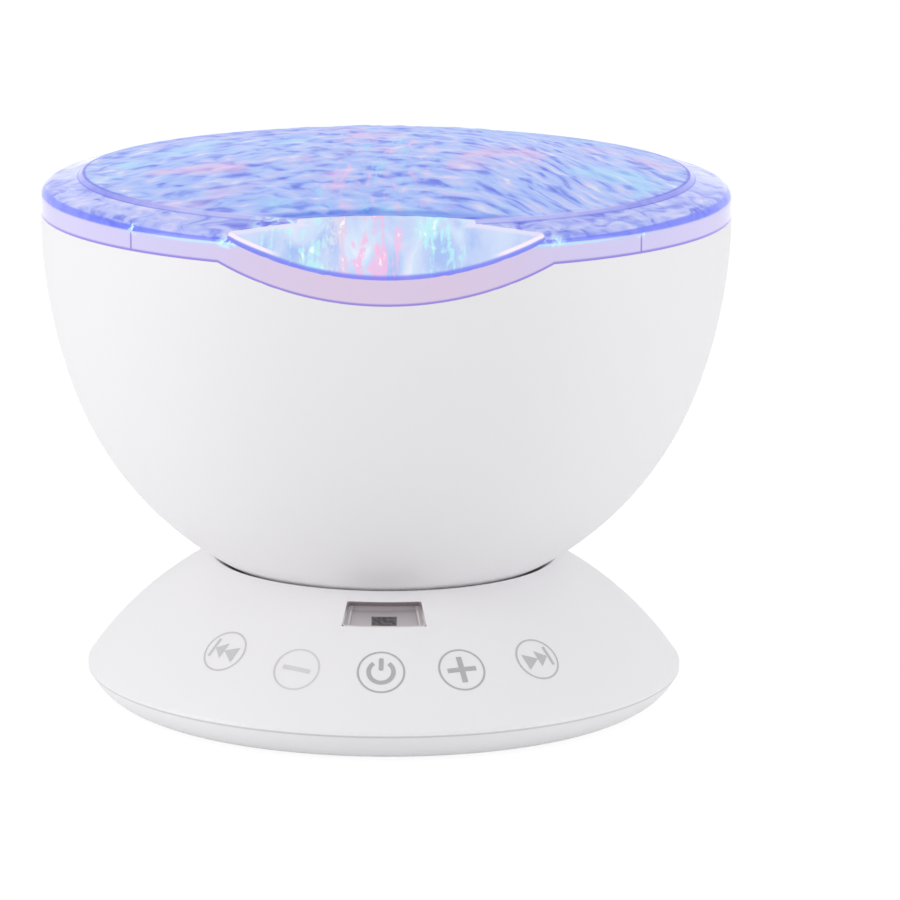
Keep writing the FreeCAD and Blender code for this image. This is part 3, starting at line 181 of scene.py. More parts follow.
def turned_shell(name, profile, steps):
    """A round shell: a point is extruded along a profile of (radius, height), then spun about Z."""
    radius, height = profile[0]
    bpy.ops.mesh.primitive_plane_add(size=0.001, location=(radius, 0, height))
    piece = start_piece(name)
    bpy.ops.mesh.merge(type="CENTER")
    for next_radius, next_height in profile[1:]:
        bpy.ops.mesh.extrude_vertices_move(
            TRANSFORM_OT_translate={"value": (next_radius - radius, 0, next_height - height)})
        radius, height = next_radius, next_height
    bpy.ops.mesh.select_all(action="SELECT")
    bpy.ops.mesh.spin(steps=steps, angle=2 * math.pi, center=(0, 0, 0), axis=(0, 0, 1))
    bpy.ops.mesh.select_all(action="SELECT")
    bpy.ops.mesh.remove_doubles(threshold=MERGE_DISTANCE)
    bpy.ops.mesh.normals_make_consistent(inside=False)
    return piece


def give_finish(piece, finish):
    """Leave a piece with one finish only."""
    piece.data.materials.clear()
    piece.data.materials.append(finish)


def smooth_shading(piece, angle):
    make_active(piece)
    bpy.ops.object.shade_smooth_by_angle(angle=math.radians(angle))
    bpy.ops.object.select_all(action="DESELECT")


def shade_true(piece, arcs):
    """Shade the faces that lie on round arcs, each (centre radius, centre height, radius) turned
    about Z, by the arc's own direction, so that no facet shows."""
    mesh = piece.data
    corners = [corner.vector.copy() for corner in mesh.corner_normals]
    for face in mesh.polygons:
        for centre_radius, centre_height, size in arcs:
            true = []
            for index in face.vertices:
                point = mesh.vertices[index].co
                radius = math.hypot(point.x, point.y)
                out = radius - centre_radius
                rise = point.z - centre_height
                if radius < 0.001 or abs(math.hypot(out, rise) - size) > 0.00002:
                    break
                true.append(Vector((point.x / radius * out, point.y / radius * out, rise)) / size)
            if len(true) == len(face.vertices) and face.normal.dot(true[0]) > 0.6:
                for corner, normal in zip(face.loop_indices, true):
                    corners[corner] = normal
    mesh.normals_split_custom_set(corners)


def steps_between(start, stop, count):
    """Evenly spaced numbers after start, up to and with stop."""
    return [start + (stop - start) * number / count for number in range(1, count + 1)]


# Finishes: each helper adds one node and gives back its output

class Finish:
    def __init__(self, tree):
        self.nodes = tree.nodes
        self.links = tree.links

    def add(self, kind, **settings):
        node = self.nodes.new(kind)
        for setting, value in settings.items():
            setattr(node, setting, value)
        return node

    def feed(self, socket, value):
        if isinstance(value, bpy.types.NodeSocket):
            self.links.new(value, socket)
        elif socket.type == "RGBA" and len(value) == 3:
            socket.default_value = (*value, 1)
        else:
            socket.default_value = value

    def math(self, operation, first, second=0.0, third=0.0):
        node = self.add("ShaderNodeMath", operation=operation)
        for socket, value in zip(node.inputs, (first, second, third)):
            self.feed(socket, value)
        return node.outputs[0]

    def fade(self, value, low, high, start=0.0, stop=1.0):
        """A smooth step from start to stop while value goes from low to high."""
        node = self.add("ShaderNodeMapRange", interpolation_type="SMOOTHSTEP")
        for name, number in (("Value", value), ("From Min", low), ("From Max", high),
                             ("To Min", start), ("To Max", stop)):
            self.feed(node.inputs[name], number)
        return node.outputs["Result"]

    def line(self, value, middle, half, soft):
        """A band about a middle value: 1 inside half, fading over soft."""
        away = self.math("ABSOLUTE", self.math("SUBTRACT", value, middle))
        return self.fade(away, half, half + soft, 1.0, 0.0)

    def both(self, first, second):
        return self.math("MULTIPLY", first, second)

    def distance(self, first, second):
        return self.math("SQRT", self.math("ADD", self.both(first, first), self.both(second, second)))

    def spot(self, across, up, centre, size):
        """A soft spot at (across, height)."""
        off = self.math("SUBTRACT", across, centre[0])
        over = self.math("MULTIPLY", self.math("SUBTRACT", up, centre[1]), 2.0)
        return self.fade(self.distance(off, over), size * 0.3, size, 1.0, 0.0)

    def place(self):
        """Object coordinates in metres, whole and as x, y and z."""
        whole = self.add("ShaderNodeTexCoord").outputs["Object"]
        parts = self.add("ShaderNodeSeparateXYZ")
        self.feed(parts.inputs[0], whole)
        return whole, parts.outputs[0], parts.outputs[1], parts.outputs[2]

    def stretched(self, vector, stretch):
        node = self.add("ShaderNodeMapping")
        self.feed(node.inputs["Vector"], vector)
        self.feed(node.inputs["Scale"], stretch)
        return node.outputs[0]

    def noise(self, vector, scale, detail=2.0, roughness=0.5, warp=0.0):
        node = self.add("ShaderNodeTexNoise", noise_type="FBM")
        for name, value in (("Vector", vector), ("Scale", scale), ("Detail", detail),
                            ("Roughness", roughness), ("Distortion", warp)):
            self.feed(node.inputs[name], value)
        return node.outputs["Fac"]

    def cells(self, vector, scale):
        node = self.add("ShaderNodeTexVoronoi", feature="F1")
        self.feed(node.inputs["Vector"], vector)
        self.feed(node.inputs["Scale"], scale)
        return node.outputs["Distance"]

    def ramp(self, value, stops):
        """A colour ramp through (position, colour) stops."""
        node = self.add("ShaderNodeValToRGB")
        band = node.color_ramp
        while len(band.elements) < len(stops):
            band.elements.new(0.5)
        for element, (position, colour) in zip(band.elements, stops):
            element.position = position
            element.color = (*colour, 1)
        self.feed(node.inputs[0], value)
        return node.outputs["Color"]

    def mix(self, amount, first, second, blend="MIX"):
        node = self.add("ShaderNodeMix", data_type="RGBA", blend_type=blend)
        self.feed(node.inputs[0], amount)
        self.feed(node.inputs[6], first)
        self.feed(node.inputs[7], second)
        return node.outputs[2]

    def bump(self, height, distance, strength=1.0):
        node = self.add("ShaderNodeBump")
        self.feed(node.inputs["Strength"], strength)
        self.feed(node.inputs["Distance"], distance)
        self.feed(node.inputs["Height"], height)
        return node.outputs[0]

    def seen_directly(self):
        """1 for rays from the camera, or off glossy and through clear faces, and 0 for the rest."""
        ray = self.add("ShaderNodeLightPath").outputs
        bent = self.math("MAXIMUM", ray["Is Glossy Ray"], ray["Is Transmission Ray"])
        return self.math("MAXIMUM", ray["Is Camera Ray"], bent)

    def use(self, group, **values):
        """Place a node group with its own values."""
        node = self.add("ShaderNodeGroup", node_tree=group)
        for name, value in values.items():
            self.feed(node.inputs[name], value)
        return node.outputs


def srgb(red, green, blue):
    """A screen colour, 0 to 255, as linear light."""
    return tuple(((part / 255 + 0.055) / 1.055) ** 2.4 if part > 10 else part / 255 / 12.92
                 for part in (red, green, blue))


def new_group(name, inputs, outputs):
    group = bpy.data.node_groups.new(name, "ShaderNodeTree")
    for label, kind, value in inputs:
        socket = group.interface.new_socket(label, in_out="INPUT", socket_type=kind)
        socket.default_value = value
    for label, kind in outputs:
        group.interface.new_socket(label, in_out="OUTPUT", socket_type=kind)
    made = Finish(group)
    return group, made, made.add("NodeGroupInput").outputs, made.add("NodeGroupOutput").inputs


def make_moulded_grain():
    """Fine moulded grain: slight mottle in the colour, an uneven sheen and a shallow texture."""
    group, made, inputs, outputs = new_group(
        "moulded_grain",
        [("Colour", "NodeSocketColor", (0.8, 0.8, 0.8, 1)), ("Grain", "NodeSocketFloat", 1500.0),
         ("Mottle", "NodeSocketFloat", 0.03), ("Sheen", "NodeSocketFloat", 0.4)],
        [("Colour", "NodeSocketColor"), ("Roughness", "NodeSocketFloat"), ("Height", "NodeSocketFloat")])
    whole = made.place()[0]
    broad = made.noise(whole, 22.0, 3.0)
    fine = made.noise(whole, inputs["Grain"], 2.0, 0.6)
    shade = made.math("MULTIPLY_ADD", made.math("SUBTRACT", broad, 0.5), inputs["Mottle"], 1.0)
    grey = made.add("ShaderNodeCombineColor")
    for socket in grey.inputs:
        made.feed(socket, shade)
    made.feed(outputs["Colour"], made.mix(1.0, inputs["Colour"], grey.outputs[0], "MULTIPLY"))
    uneven = made.math("MULTIPLY_ADD", made.math("SUBTRACT", fine, 0.5), 0.25, inputs["Sheen"])
    made.feed(outputs["Roughness"], uneven)
    made.feed(outputs["Height"], fine)
    return group


def make_turned_metal():
    """Fine turned lines and slight tarnish on bare metal."""
    group, made, inputs, outputs = new_group(
        "turned_metal",
        [("Colour", "NodeSocketColor", (0.6, 0.6, 0.6, 1)), ("Lines", "NodeSocketFloat", 4000.0)],
        [("Colour", "NodeSocketColor"), ("Roughness", "NodeSocketFloat"), ("Height", "NodeSocketFloat")])
    whole = made.place()[0]
    lines = made.noise(made.stretched(whole, (0.02, 0.02, 1.0)), inputs["Lines"], 2.0)
    tarnish = made.noise(whole, 180.0, 4.0, 0.6)
    made.feed(outputs["Colour"], made.mix(made.fade(tarnish, 0.45, 0.75, 0.0, 0.35), inputs["Colour"],
                                          (0.30, 0.29, 0.28)))
    made.feed(outputs["Roughness"], made.math("MULTIPLY_ADD", lines, 0.25, 0.2))
    made.feed(outputs["Height"], lines)
    return group


def make_lit_water():
    """Light thrown through a wave disc: long wavelets in periwinkle with blue troughs, pink and
    white crests, and drifting patches of cyan and pink."""
    group, made, inputs, outputs = new_group(
        "lit_water",
        [("Cells", "NodeSocketFloat", 240.0)],
        [("Colour", "NodeSocketColor"), ("Height", "NodeSocketFloat")])
    whole, across, back, _ = made.place()
    drift = made.noise(whole, 30.0, 1.0)
    lean = made.both(made.fade(across, 0.005, 0.050, 0.0, 1.0), across)
    flow = made.add("ShaderNodeCombineXYZ")
    made.feed(flow.inputs[0], made.math("MULTIPLY_ADD", drift, 0.008, made.both(across, 0.78)))
    made.feed(flow.inputs[1], made.math("ADD", made.math("MULTIPLY_ADD", drift, 0.010, back), lean))
    wavelets = made.noise(flow.outputs[0], inputs["Cells"], 2.0, 0.45, 0.4)
    base = made.ramp(wavelets, [
        (0.30, srgb(118, 136, 238)), (0.39, srgb(146, 164, 246)), (0.46, srgb(168, 191, 254)),
        (0.56, srgb(180, 202, 255)), (0.66, srgb(206, 206, 250)), (0.77, srgb(228, 240, 255))])
    tint = made.noise(whole, 46.0, 2.0, 0.5, 0.4)
    rose = made.fade(tint, 0.56, 0.72, 0.0, 0.55)
    sky = made.fade(tint, 0.44, 0.30, 0.0, 0.55)
    colour = made.mix(rose, base, srgb(240, 196, 234))
    colour = made.mix(sky, colour, srgb(176, 232, 255))
    made.feed(outputs["Colour"], colour)
    made.feed(outputs["Height"], wavelets)
    return group


def new_finish(name):
    material = bpy.data.materials.new(name)
    material.use_nodes = True
    made = Finish(material.node_tree)
    return material, made, material.node_tree.nodes["Principled BSDF"].inputs


GRAIN = make_moulded_grain()
TURNED = make_turned_metal()
WATER = make_lit_water()


def moulded(name, colour, sheen=0.42, mottle=0.03, grain=1500.0, depth=0.00002, seam=None):
    """Moulded plastic or rubber, with a thin line of painted shade where a seam runs round at a height."""
    material, made, shader = new_finish(name)
    grained = made.use(GRAIN, Colour=(*colour, 1), Grain=grain, Mottle=mottle, Sheen=sheen)
    shade = grained["Colour"]
    if seam:
        # painted shade: a thin dark line along the seam
        seam_shade = made.line(made.place()[3], seam, 0.00012, 0.00022)
        shade = made.mix(made.math("MULTIPLY", seam_shade, 0.42), shade, tuple(c * 0.35 for c in colour))
    made.feed(shader["Base Color"], shade)
    made.feed(shader["Roughness"], grained["Roughness"])
    made.feed(shader["Normal"], made.bump(grained["Height"], depth, 0.6))
    return material


def bare_metal(name, colour, lines=4000.0):
    """Metal with fine turned lines."""
    material, made, shader = new_finish(name)
    worked = made.use(TURNED, Colour=(*colour, 1), Lines=lines)
    made.feed(shader["Base Color"], worked["Colour"])
    made.feed(shader["Roughness"], worked["Roughness"])
    made.feed(shader["Normal"], made.bump(worked["Height"], 0.00001, 0.5))
    shader["Metallic"].default_value = 1.0
    return material


def glow(made, shader, colour, base_share, strength):
    """Plastic lit from inside: part of the colour is its own, part is light."""
    made.feed(shader["Base Color"], made.mix(1.0, colour, (base_share,) * 3, "MULTIPLY"))
    made.feed(shader["Emission Color"], colour)
    shader["Emission Strength"].default_value = strength


def lit_dome_finish():
    """The rippled dome of the lid, lit from below."""
    material, made, shader = new_finish("lit_rippled_dome")
    whole, across, back, up = made.place()
    water = made.use(WATER, Cells=225.0)
    colour = water["Colour"]
    # a column of mixed light runs back from the front window
    near_middle = made.line(across, -0.002, 0.004, 0.016)
    speckle = made.noise(made.stretched(whole, (1.4, 0.35, 0.0)), 210.0, 2.0, 0.6, 1.0)
    colour = made.mix(made.both(near_middle, made.fade(speckle, 0.56, 0.70, 0.0, 0.5)), colour,
                      srgb(250, 196, 234))
    colour = made.mix(made.both(near_middle, made.fade(speckle, 0.42, 0.32, 0.0, 0.6)), colour,
                      srgb(150, 226, 252))
    # painted shade: the dome darkens towards the back
    colour = made.mix(made.fade(back, 0.005, 0.065, 0.0, 0.55), colour, srgb(138, 156, 238))
    # the dark blue line just behind the front window
    slope = math.tan(EYE_SLOPE)
    plane = made.math("MULTIPLY_ADD", made.math("ADD", back, RIM_RADIUS), slope, EYE_LOW + EYE_BAND)
    behind = made.math("SUBTRACT", up, plane)
    wide = made.fade(made.math("ABSOLUTE", across), 0.020, 0.034, 1.0, 0.0)
    colour = made.mix(made.both(made.fade(behind, -0.0048, -0.0026, 0.0, 0.6), wide), colour,
                      srgb(58, 112, 232))
    # the thin ring where the dome meets the margin
    radius = made.distance(across, back)
    side = made.fade(made.math("ABSOLUTE", across), 0.040, 0.060)
    ring = made.fade(radius, 0.0651, 0.0656)
    colour = made.mix(made.both(ring, made.math("MULTIPLY_ADD", side, 0.35, 0.45)), colour,
                      made.mix(side, srgb(226, 204, 244), srgb(112, 116, 232)))
    glow(made, shader, colour, 0.60, 0.44)
    shader["Roughness"].default_value = 0.30
    shader["Specular IOR Level"].default_value = 0.03
    made.feed(shader["Normal"], made.bump(water["Height"], 0.0004, 0.5))
    return material


def lit_edge_finish():
    """The lid's plain margin, rounded edge and band."""
    material, made, shader = new_finish("lit_lid_edge")
    whole, across, back, up = made.place()
    wide = made.math("ABSOLUTE", across)
    radius = made.distance(across, back)
    band_pink = made.fade(wide, 0.010, 0.050, 1.0, 0.0)
    band = made.mix(band_pink, srgb(210, 204, 242), srgb(220, 202, 228))
    far_side = made.fade(wide, 0.066, 0.0748)
    band = made.mix(far_side, band, srgb(196, 192, 228))
    streaks = made.noise(made.stretched(whole, (1.0, 1.0, 3.0)), 60.0, 2.0, 0.5, 0.6)
    ribbons = made.noise(made.stretched(whole, (1.0, 1.0, 2.0)), 150.0, 2.0, 0.55, 1.4)
    margin = made.ramp(made.math("MULTIPLY_ADD", ribbons, 0.6, made.math("MULTIPLY", streaks, 0.4)), [
        (0.34, srgb(92, 104, 230)), (0.42, srgb(138, 150, 242)), (0.50, srgb(174, 186, 250)),
        (0.59, srgb(198, 202, 250)), (0.70, srgb(230, 226, 252))])
    colour = made.mix(made.fade(up, BAND_TOP, BAND_TOP + 0.0006), band, margin)
    # the saturated line inside the rounded edge, thick at the far sides
    thick = made.fade(wide, 0.030, 0.072, 0.00015, 0.00055)
    line_height = made.fade(wide, 0.040, 0.074, 0.1123, 0.1127)
    away = made.math("ABSOLUTE", made.math("SUBTRACT", up, line_height))
    blue = made.fade(made.math("SUBTRACT", away, thick), 0.0, 0.0004, 1.0, 0.0)
    outer = made.fade(radius, 0.0705, 0.0725)
    colour = made.mix(made.math("MULTIPLY", made.both(blue, outer), 0.8), colour, srgb(112, 124, 247))
    pale = made.both(made.line(up, BAND_TOP, 0.00012, 0.00025), made.fade(wide, 0.060, 0.035))
    colour = made.mix(pale, colour, srgb(178, 224, 255))
    # the step up to the dome
    side = made.fade(wide, 0.036, 0.060)
    step = made.both(made.fade(radius, 0.0669, 0.0667), made.fade(up, 0.1138, 0.1141))
    colour = made.mix(made.math("MULTIPLY", step, 0.8), colour,
                      made.mix(side, srgb(188, 194, 250), srgb(136, 140, 240)))
    foot = made.both(made.line(radius, 0.0670, 0.00010, 0.00022), made.fade(up, 0.1138, 0.1141))
    colour = made.mix(made.math("MULTIPLY", foot, 0.8), colour,
                      made.mix(side, srgb(150, 150, 238), srgb(92, 96, 226)))
    # the lower edge
    slope = math.tan(EYE_SLOPE)
    cut = made.math("MULTIPLY_ADD", made.math("ADD", back, RIM_RADIUS), slope, EYE_LOW)
    lowest = made.math("MINIMUM", cut, RIM_HEIGHT)
    over = made.math("SUBTRACT", up, lowest)
    colour = made.mix(made.fade(over, 0.00078, 0.00028, 0.0, 0.85), colour, srgb(140, 122, 222))
    # hook marks
    diagonal = made.math("ABSOLUTE", made.math("SUBTRACT", wide, made.math("ABSOLUTE", back)))
    mark = made.both(made.fade(diagonal, 0.00022, 0.00045, 1.0, 0.0), made.fade(up, 0.1078, 0.1082))
    mark = made.both(mark, made.fade(up, BAND_TOP, BAND_TOP - 0.0004))
    colour = made.mix(made.math("MULTIPLY", mark, 0.8), colour, srgb(132, 112, 206))
    # painted glints: sparkle beside the hook marks and soft cyan-white spots near the front window's corners
    spark_noise = made.noise(made.stretched(whole, (0.7, 1.0, 1.0)), 480.0, 2.0, 0.5, 0.8)
    near_hook = made.both(made.fade(diagonal, 0.0030, 0.0008), made.line(up, 0.1122, 0.0006, 0.0010))
    sparkle = made.both(near_hook, made.fade(spark_noise, 0.48, 0.62))
    corners = made.math("MAXIMUM", made.spot(across, up, (-0.0325, 0.1118), 0.0030),
                        made.spot(across, up, (0.0345, 0.1122), 0.0030))
    corners = made.math("MAXIMUM", corners, made.spot(across, up, (-0.0225, 0.1152), 0.0065))
    corners = made.both(corners, made.fade(back, -0.030, -0.040))
    corners = made.both(corners, made.fade(spark_noise, 0.40, 0.60))
    sparkle = made.math("MAXIMUM", sparkle, corners)
    colour = made.mix(sparkle, colour, srgb(206, 248, 255))
    glow(made, shader, colour, 0.62, 0.40)
    shader["Roughness"].default_value = 0.12
    shader["Specular IOR Level"].default_value = 0.2
    made.feed(shader["Normal"], made.bump(streaks, 0.0002, 0.3))
    return material


def lit_window_finish():
    """The sloped front window: pale blue with upright streaks of pink, cyan and white light."""
    material, made, shader = new_finish("lit_front_window")
    whole, across, back, up = made.place()
    haze = made.noise(made.stretched(whole, (1.0, 0.5, 0.5)), 120.0, 3.0, 0.5, 0.8)
    colour = made.ramp(haze, [
        (0.30, srgb(170, 196, 246)), (0.48, srgb(198, 214, 250)), (0.62, srgb(212, 228, 252)),
        (0.76, srgb(238, 244, 255))])
    drips = made.noise(made.stretched(whole, (1.0, 0.16, 0.16)), 560.0, 2.0, 0.55, 0.6)
    broken = made.noise(made.stretched(whole, (1.0, 0.7, 0.7)), 420.0, 2.0, 0.6, 0.8)
    ragged = made.math("MULTIPLY_ADD", broken, 0.45, made.math("MULTIPLY", drips, 0.55))
    pink_zone = made.line(across, -0.0045, 0.0055, 0.005)
    colour = made.mix(made.both(pink_zone, made.fade(ragged, 0.46, 0.58, 0.0, 0.85)), colour,
                      srgb(252, 190, 230))
    cyan_zone = made.math("MAXIMUM", made.line(across, -0.0175, 0.005, 0.006),
                          made.line(across, 0.0115, 0.003, 0.004))
    colour = made.mix(made.both(cyan_zone, made.fade(ragged, 0.47, 0.58, 0.0, 0.8)), colour,
                      srgb(190, 246, 250))
    white = made.both(made.math("MAXIMUM", cyan_zone, pink_zone), made.fade(ragged, 0.60, 0.66))
    colour = made.mix(white, colour, srgb(244, 255, 255))
    # upper and lower borders: a pale painted highlight along the upper border, a blue line along the lower
    # one
    radius = made.distance(across, back)
    top = made.math("MULTIPLY_ADD", made.math("SUBTRACT", MARGIN_RADIUS, radius), 0.25, MARGIN_HEIGHT)
    top = made.math("ADD", top, made.fade(radius, 0.0668, 0.0661, 0.0, 0.0007))
    crown = made.math("SUBTRACT", 1.0, made.math("POWER", made.math("DIVIDE", radius, RING_RADIUS), 2.0))
    top = made.math("ADD", top, made.math("MULTIPLY", made.math("MAXIMUM", crown, 0.0), DOME_RISE))
    under = made.math("SUBTRACT", top, up)
    colour = made.mix(made.fade(under, 0.0008, 0.0003, 0.0, 0.8), colour, srgb(234, 230, 253))
    colour = made.mix(made.fade(radius, 0.0738, 0.0745, 0.0, 0.85), colour, srgb(118, 122, 246))
    # painted highlight lines along the lower corner edges
    corner = made.both(made.fade(made.math("ABSOLUTE", across), 0.021, 0.025),
                       made.line(radius, 0.0737, 0.0002, 0.0003))
    colour = made.mix(corner, colour, srgb(255, 240, 252))
    glow(made, shader, colour, 0.58, 0.46)
    shader["Roughness"].default_value = 0.10
    shader["Specular IOR Level"].default_value = 0.25
    made.feed(shader["Normal"], made.bump(haze, 0.0002, 0.25))
    return material


def print_finish():
    """Grey print on the cover, worn paler on the two left keys."""
    material, made, shader = new_finish("print_grey")
    whole, across, _, _ = made.place()
    wear = made.ramp(made.math("MULTIPLY_ADD", across, 12.5, 0.5), [
        (0.08, srgb(199, 198, 200)), (0.17, srgb(199, 198, 200)), (0.25, srgb(212, 211, 213)),
        (0.34, srgb(212, 211, 213)), (0.42, srgb(176, 176, 178)), (0.78, srgb(178, 178, 180)),
        (0.86, srgb(190, 189, 191))])
    specks = made.noise(whole, 2600.0, 2.0)
    worn = made.fade(specks, 0.60, 0.78, 0.0, 0.4)
    made.feed(shader["Base Color"], made.mix(worn, wear, srgb(226, 225, 227)))
    made.feed(shader["Roughness"], made.math("MULTIPLY_ADD", specks, 0.2, 0.4))
    return material


def smoked_window_finish():
    """Smoked signal window, with the dark receiver showing through its lower middle and painted shade
    darkening it towards its upper edge.
    """
    material, made, shader = new_finish("smoked_window")
    whole, across, back, up = made.place()
    cloud = made.noise(whole, 160.0, 2.0)
    height = made.fade(up, WINDOW_LOW, WINDOW_TOP)
    # painted shadow of the opening's upper wall: the pane darkens towards its top
    colour = made.ramp(made.math("MULTIPLY_ADD", cloud, 0.12, height), [
        (0.05, srgb(190, 184, 187)), (0.40, srgb(176, 169, 173)), (0.75, srgb(162, 154, 158)),
        (0.92, srgb(138, 128, 133)), (1.0, srgb(158, 151, 154))])
    turn = made.math("DIVIDE", made.math("ABSOLUTE", across), made.math("ABSOLUTE", back))
    colour = made.mix(made.fade(turn, 0.158, 0.166, 0.0, 0.6), colour, srgb(200, 195, 197))
    shine = made.both(made.line(turn, 0.169, 0.0016, 0.003),
                      made.fade(up, WINDOW_TOP - 0.0006, WINDOW_TOP - 0.0014))
    colour = made.mix(made.math("MULTIPLY", shine, 0.75), colour, srgb(236, 233, 234))
    # a thin darker line just inside the pale ends
    dark_end_line = made.line(turn, 0.1595, 0.0008, 0.002)
    colour = made.mix(made.math("MULTIPLY", dark_end_line, 0.35), colour, srgb(112, 104, 108))
    block = made.both(made.fade(made.math("ABSOLUTE", across), 0.00262, 0.00275, 1.0, 0.0),
                      made.fade(up, WINDOW_LOW + 0.0020, WINDOW_LOW + 0.00215, 1.0, 0.0))
    fleck = made.noise(whole, 1400.0, 1.0)
    colour = made.mix(made.math("MULTIPLY", block, 0.96), colour,
                      made.ramp(fleck, [(0.4, srgb(48, 47, 48)), (0.62, srgb(84, 82, 83))]))
    made.feed(shader["Base Color"], colour)
    shader["Roughness"].default_value = 0.16
    shader["Coat Weight"].default_value = 0.7
    shader["Coat Roughness"].default_value = 0.05
    made.feed(shader["Normal"], made.bump(cloud, 0.0001, 0.2))
    return material


def lining_finish():
    """Smoked lip: painted shade makes it dark under its upper edge, and it is pale and glossy at its ends and
    foot.
    """
    material, made, shader = new_finish("smoked_lip")
    whole, _, _, up = made.place()
    cloud = made.noise(whole, 300.0, 2.0)
    height = made.math("MULTIPLY_ADD", cloud, 0.06, made.fade(up, WINDOW_LOW, WINDOW_TOP + 0.0006))
    # painted shade: darker towards the top
    colour = made.ramp(height, [
        (0.05, srgb(205, 200, 202)), (0.55, srgb(196, 190, 192)), (0.85, srgb(150, 142, 146)),
        (0.95, srgb(126, 116, 120))])
    made.feed(shader["Base Color"], colour)
    shader["Roughness"].default_value = 0.15
    shader["Coat Weight"].default_value = 0.6
    shader["Coat Roughness"].default_value = 0.05
    made.feed(shader["Normal"], made.bump(cloud, 0.0001, 0.2))
    return material


def circuit_finish(name, mask_colour, trace_colour):
    """Solder mask with faint straight traces and round pads."""
    material, made, shader = new_finish(name)
    whole = made.place()[0]
    bricks = made.add("ShaderNodeTexBrick")
    made.feed(bricks.inputs["Vector"], whole)
    made.feed(bricks.inputs["Color1"], (*mask_colour, 1))
    made.feed(bricks.inputs["Color2"], tuple(c * 1.15 for c in mask_colour) + (1,))
    made.feed(bricks.inputs["Mortar"], (*trace_colour, 1))
    made.feed(bricks.inputs["Scale"], 160.0)
    made.feed(bricks.inputs["Mortar Size"], 0.03)
    pads = made.fade(made.cells(whole, 320.0), 0.16, 0.12)
    colour = made.mix(made.math("MULTIPLY", pads, 0.8), bricks.outputs["Color"], (0.62, 0.58, 0.48))
    made.feed(shader["Base Color"], colour)
    made.feed(shader["Roughness"], made.math("MULTIPLY_ADD", pads, -0.15, 0.38))
    made.feed(shader["Normal"], made.bump(bricks.outputs["Fac"], 0.00003, 0.4))
    return material


def clear_finish(name, colour, share):
    """Clear moulding with faint flow lines."""
    material, made, shader = new_finish(name)
    whole = made.place()[0]
    flow = made.noise(made.stretched(whole, (1.0, 1.0, 0.3)), 140.0, 2.0, 0.5, 1.2)
    made.feed(shader["Base Color"], made.ramp(flow, [
        (0.3, tuple(c * 0.9 for c in colour)), (0.7, colour)]))
    shader["Roughness"].default_value = 0.1
    shader["Transmission Weight"].default_value = share
    shader["IOR"].default_value = 1.49
    made.feed(shader["Normal"], made.bump(flow, 0.0002, 0.4))
    return material


def wave_disc_finish():
    """Clear wave disc, lit from the lamps under it."""
    material, made, shader = new_finish("lit_wave_disc")
    water = made.use(WATER, Cells=150.0)
    glow(made, shader, water["Colour"], 0.6, 0.35)
    shader["Roughness"].default_value = 0.12
    made.feed(shader["Normal"], made.bump(water["Height"], 0.0008, 0.6))
    return material


SHELL = {"colour": srgb(236, 235, 237), "sheen": 0.46, "mottle": 0.012, "grain": 2600.0, "depth": 0.000006}
SHELL_WHITE = moulded("shell_white", **SHELL)
SEAMED_WHITE = moulded("seamed_white", seam=SEAM_HEIGHT, **SHELL)
PRINT_GREY = print_finish()
FINISHES = {
    "shell_white": SHELL_WHITE,
    "lid_clear": lit_edge_finish(),
    "disc_clear": wave_disc_finish(),
    "deck_white": moulded("deck_white", (0.86, 0.86, 0.86), sheen=0.35),
    "board_green": circuit_finish("board_green", (0.02, 0.12, 0.05), (0.05, 0.22, 0.09)),
    "lamp_clear": clear_finish("lamp_clear", (0.85, 0.90, 1.0), 0.8),
    "steel": bare_metal("steel", (0.62, 0.62, 0.63)),
    "screw_steel": bare_metal("screw_steel", (0.55, 0.55, 0.57), lines=9000.0),
    "gear_natural": moulded("gear_natural", (0.82, 0.80, 0.70), sheen=0.3, grain=900.0),
    "motor_tin": bare_metal("motor_tin", (0.66, 0.66, 0.67), lines=2500.0),
    "rubber_grey": moulded("rubber_grey", (0.075, 0.075, 0.08), sheen=0.75, mottle=0.2,
                           grain=3200.0, depth=0.00005),
    "window_smoke": smoked_window_finish(),
    "black_plastic": moulded("black_plastic", (0.012, 0.012, 0.013), sheen=0.35, mottle=0.15),
    "clamp_white": moulded("clamp_white", (0.62, 0.62, 0.61), sheen=0.5, mottle=0.1, grain=700.0),
    "spring_steel": bare_metal("spring_steel", (0.58, 0.58, 0.60), lines=12000.0),
    "can_blue": moulded("can_blue", (0.03, 0.05, 0.16), sheen=0.25, mottle=0.1),
    "plug_ivory": moulded("plug_ivory", (0.74, 0.69, 0.54), sheen=0.35),
    "brass": bare_metal("brass", (0.80, 0.60, 0.28)),
    "foam_black": moulded("foam_black", (0.02, 0.02, 0.02), sheen=0.9, mottle=0.4,
                          grain=2000.0, depth=0.0002),
    "basket_grey": moulded("basket_grey", (0.07, 0.07, 0.075), sheen=0.4),
    "magnet_grey": moulded("magnet_grey", (0.045, 0.045, 0.048), sheen=0.6, mottle=0.3),
    "cone_black": moulded("cone_black", (0.014, 0.014, 0.015), sheen=0.8, mottle=0.5,
                          grain=1200.0, depth=0.0001),
    "lead_grey": moulded("lead_grey", (0.16, 0.16, 0.165), sheen=0.55),
}
slots = {part["node"]: part["material_slot"] for part in frame["record"]["subparts"]}


def finish_nodes():
    """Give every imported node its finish."""
    for name, node in nodes.items():
        give_finish(node, FINISHES[slots[name]])


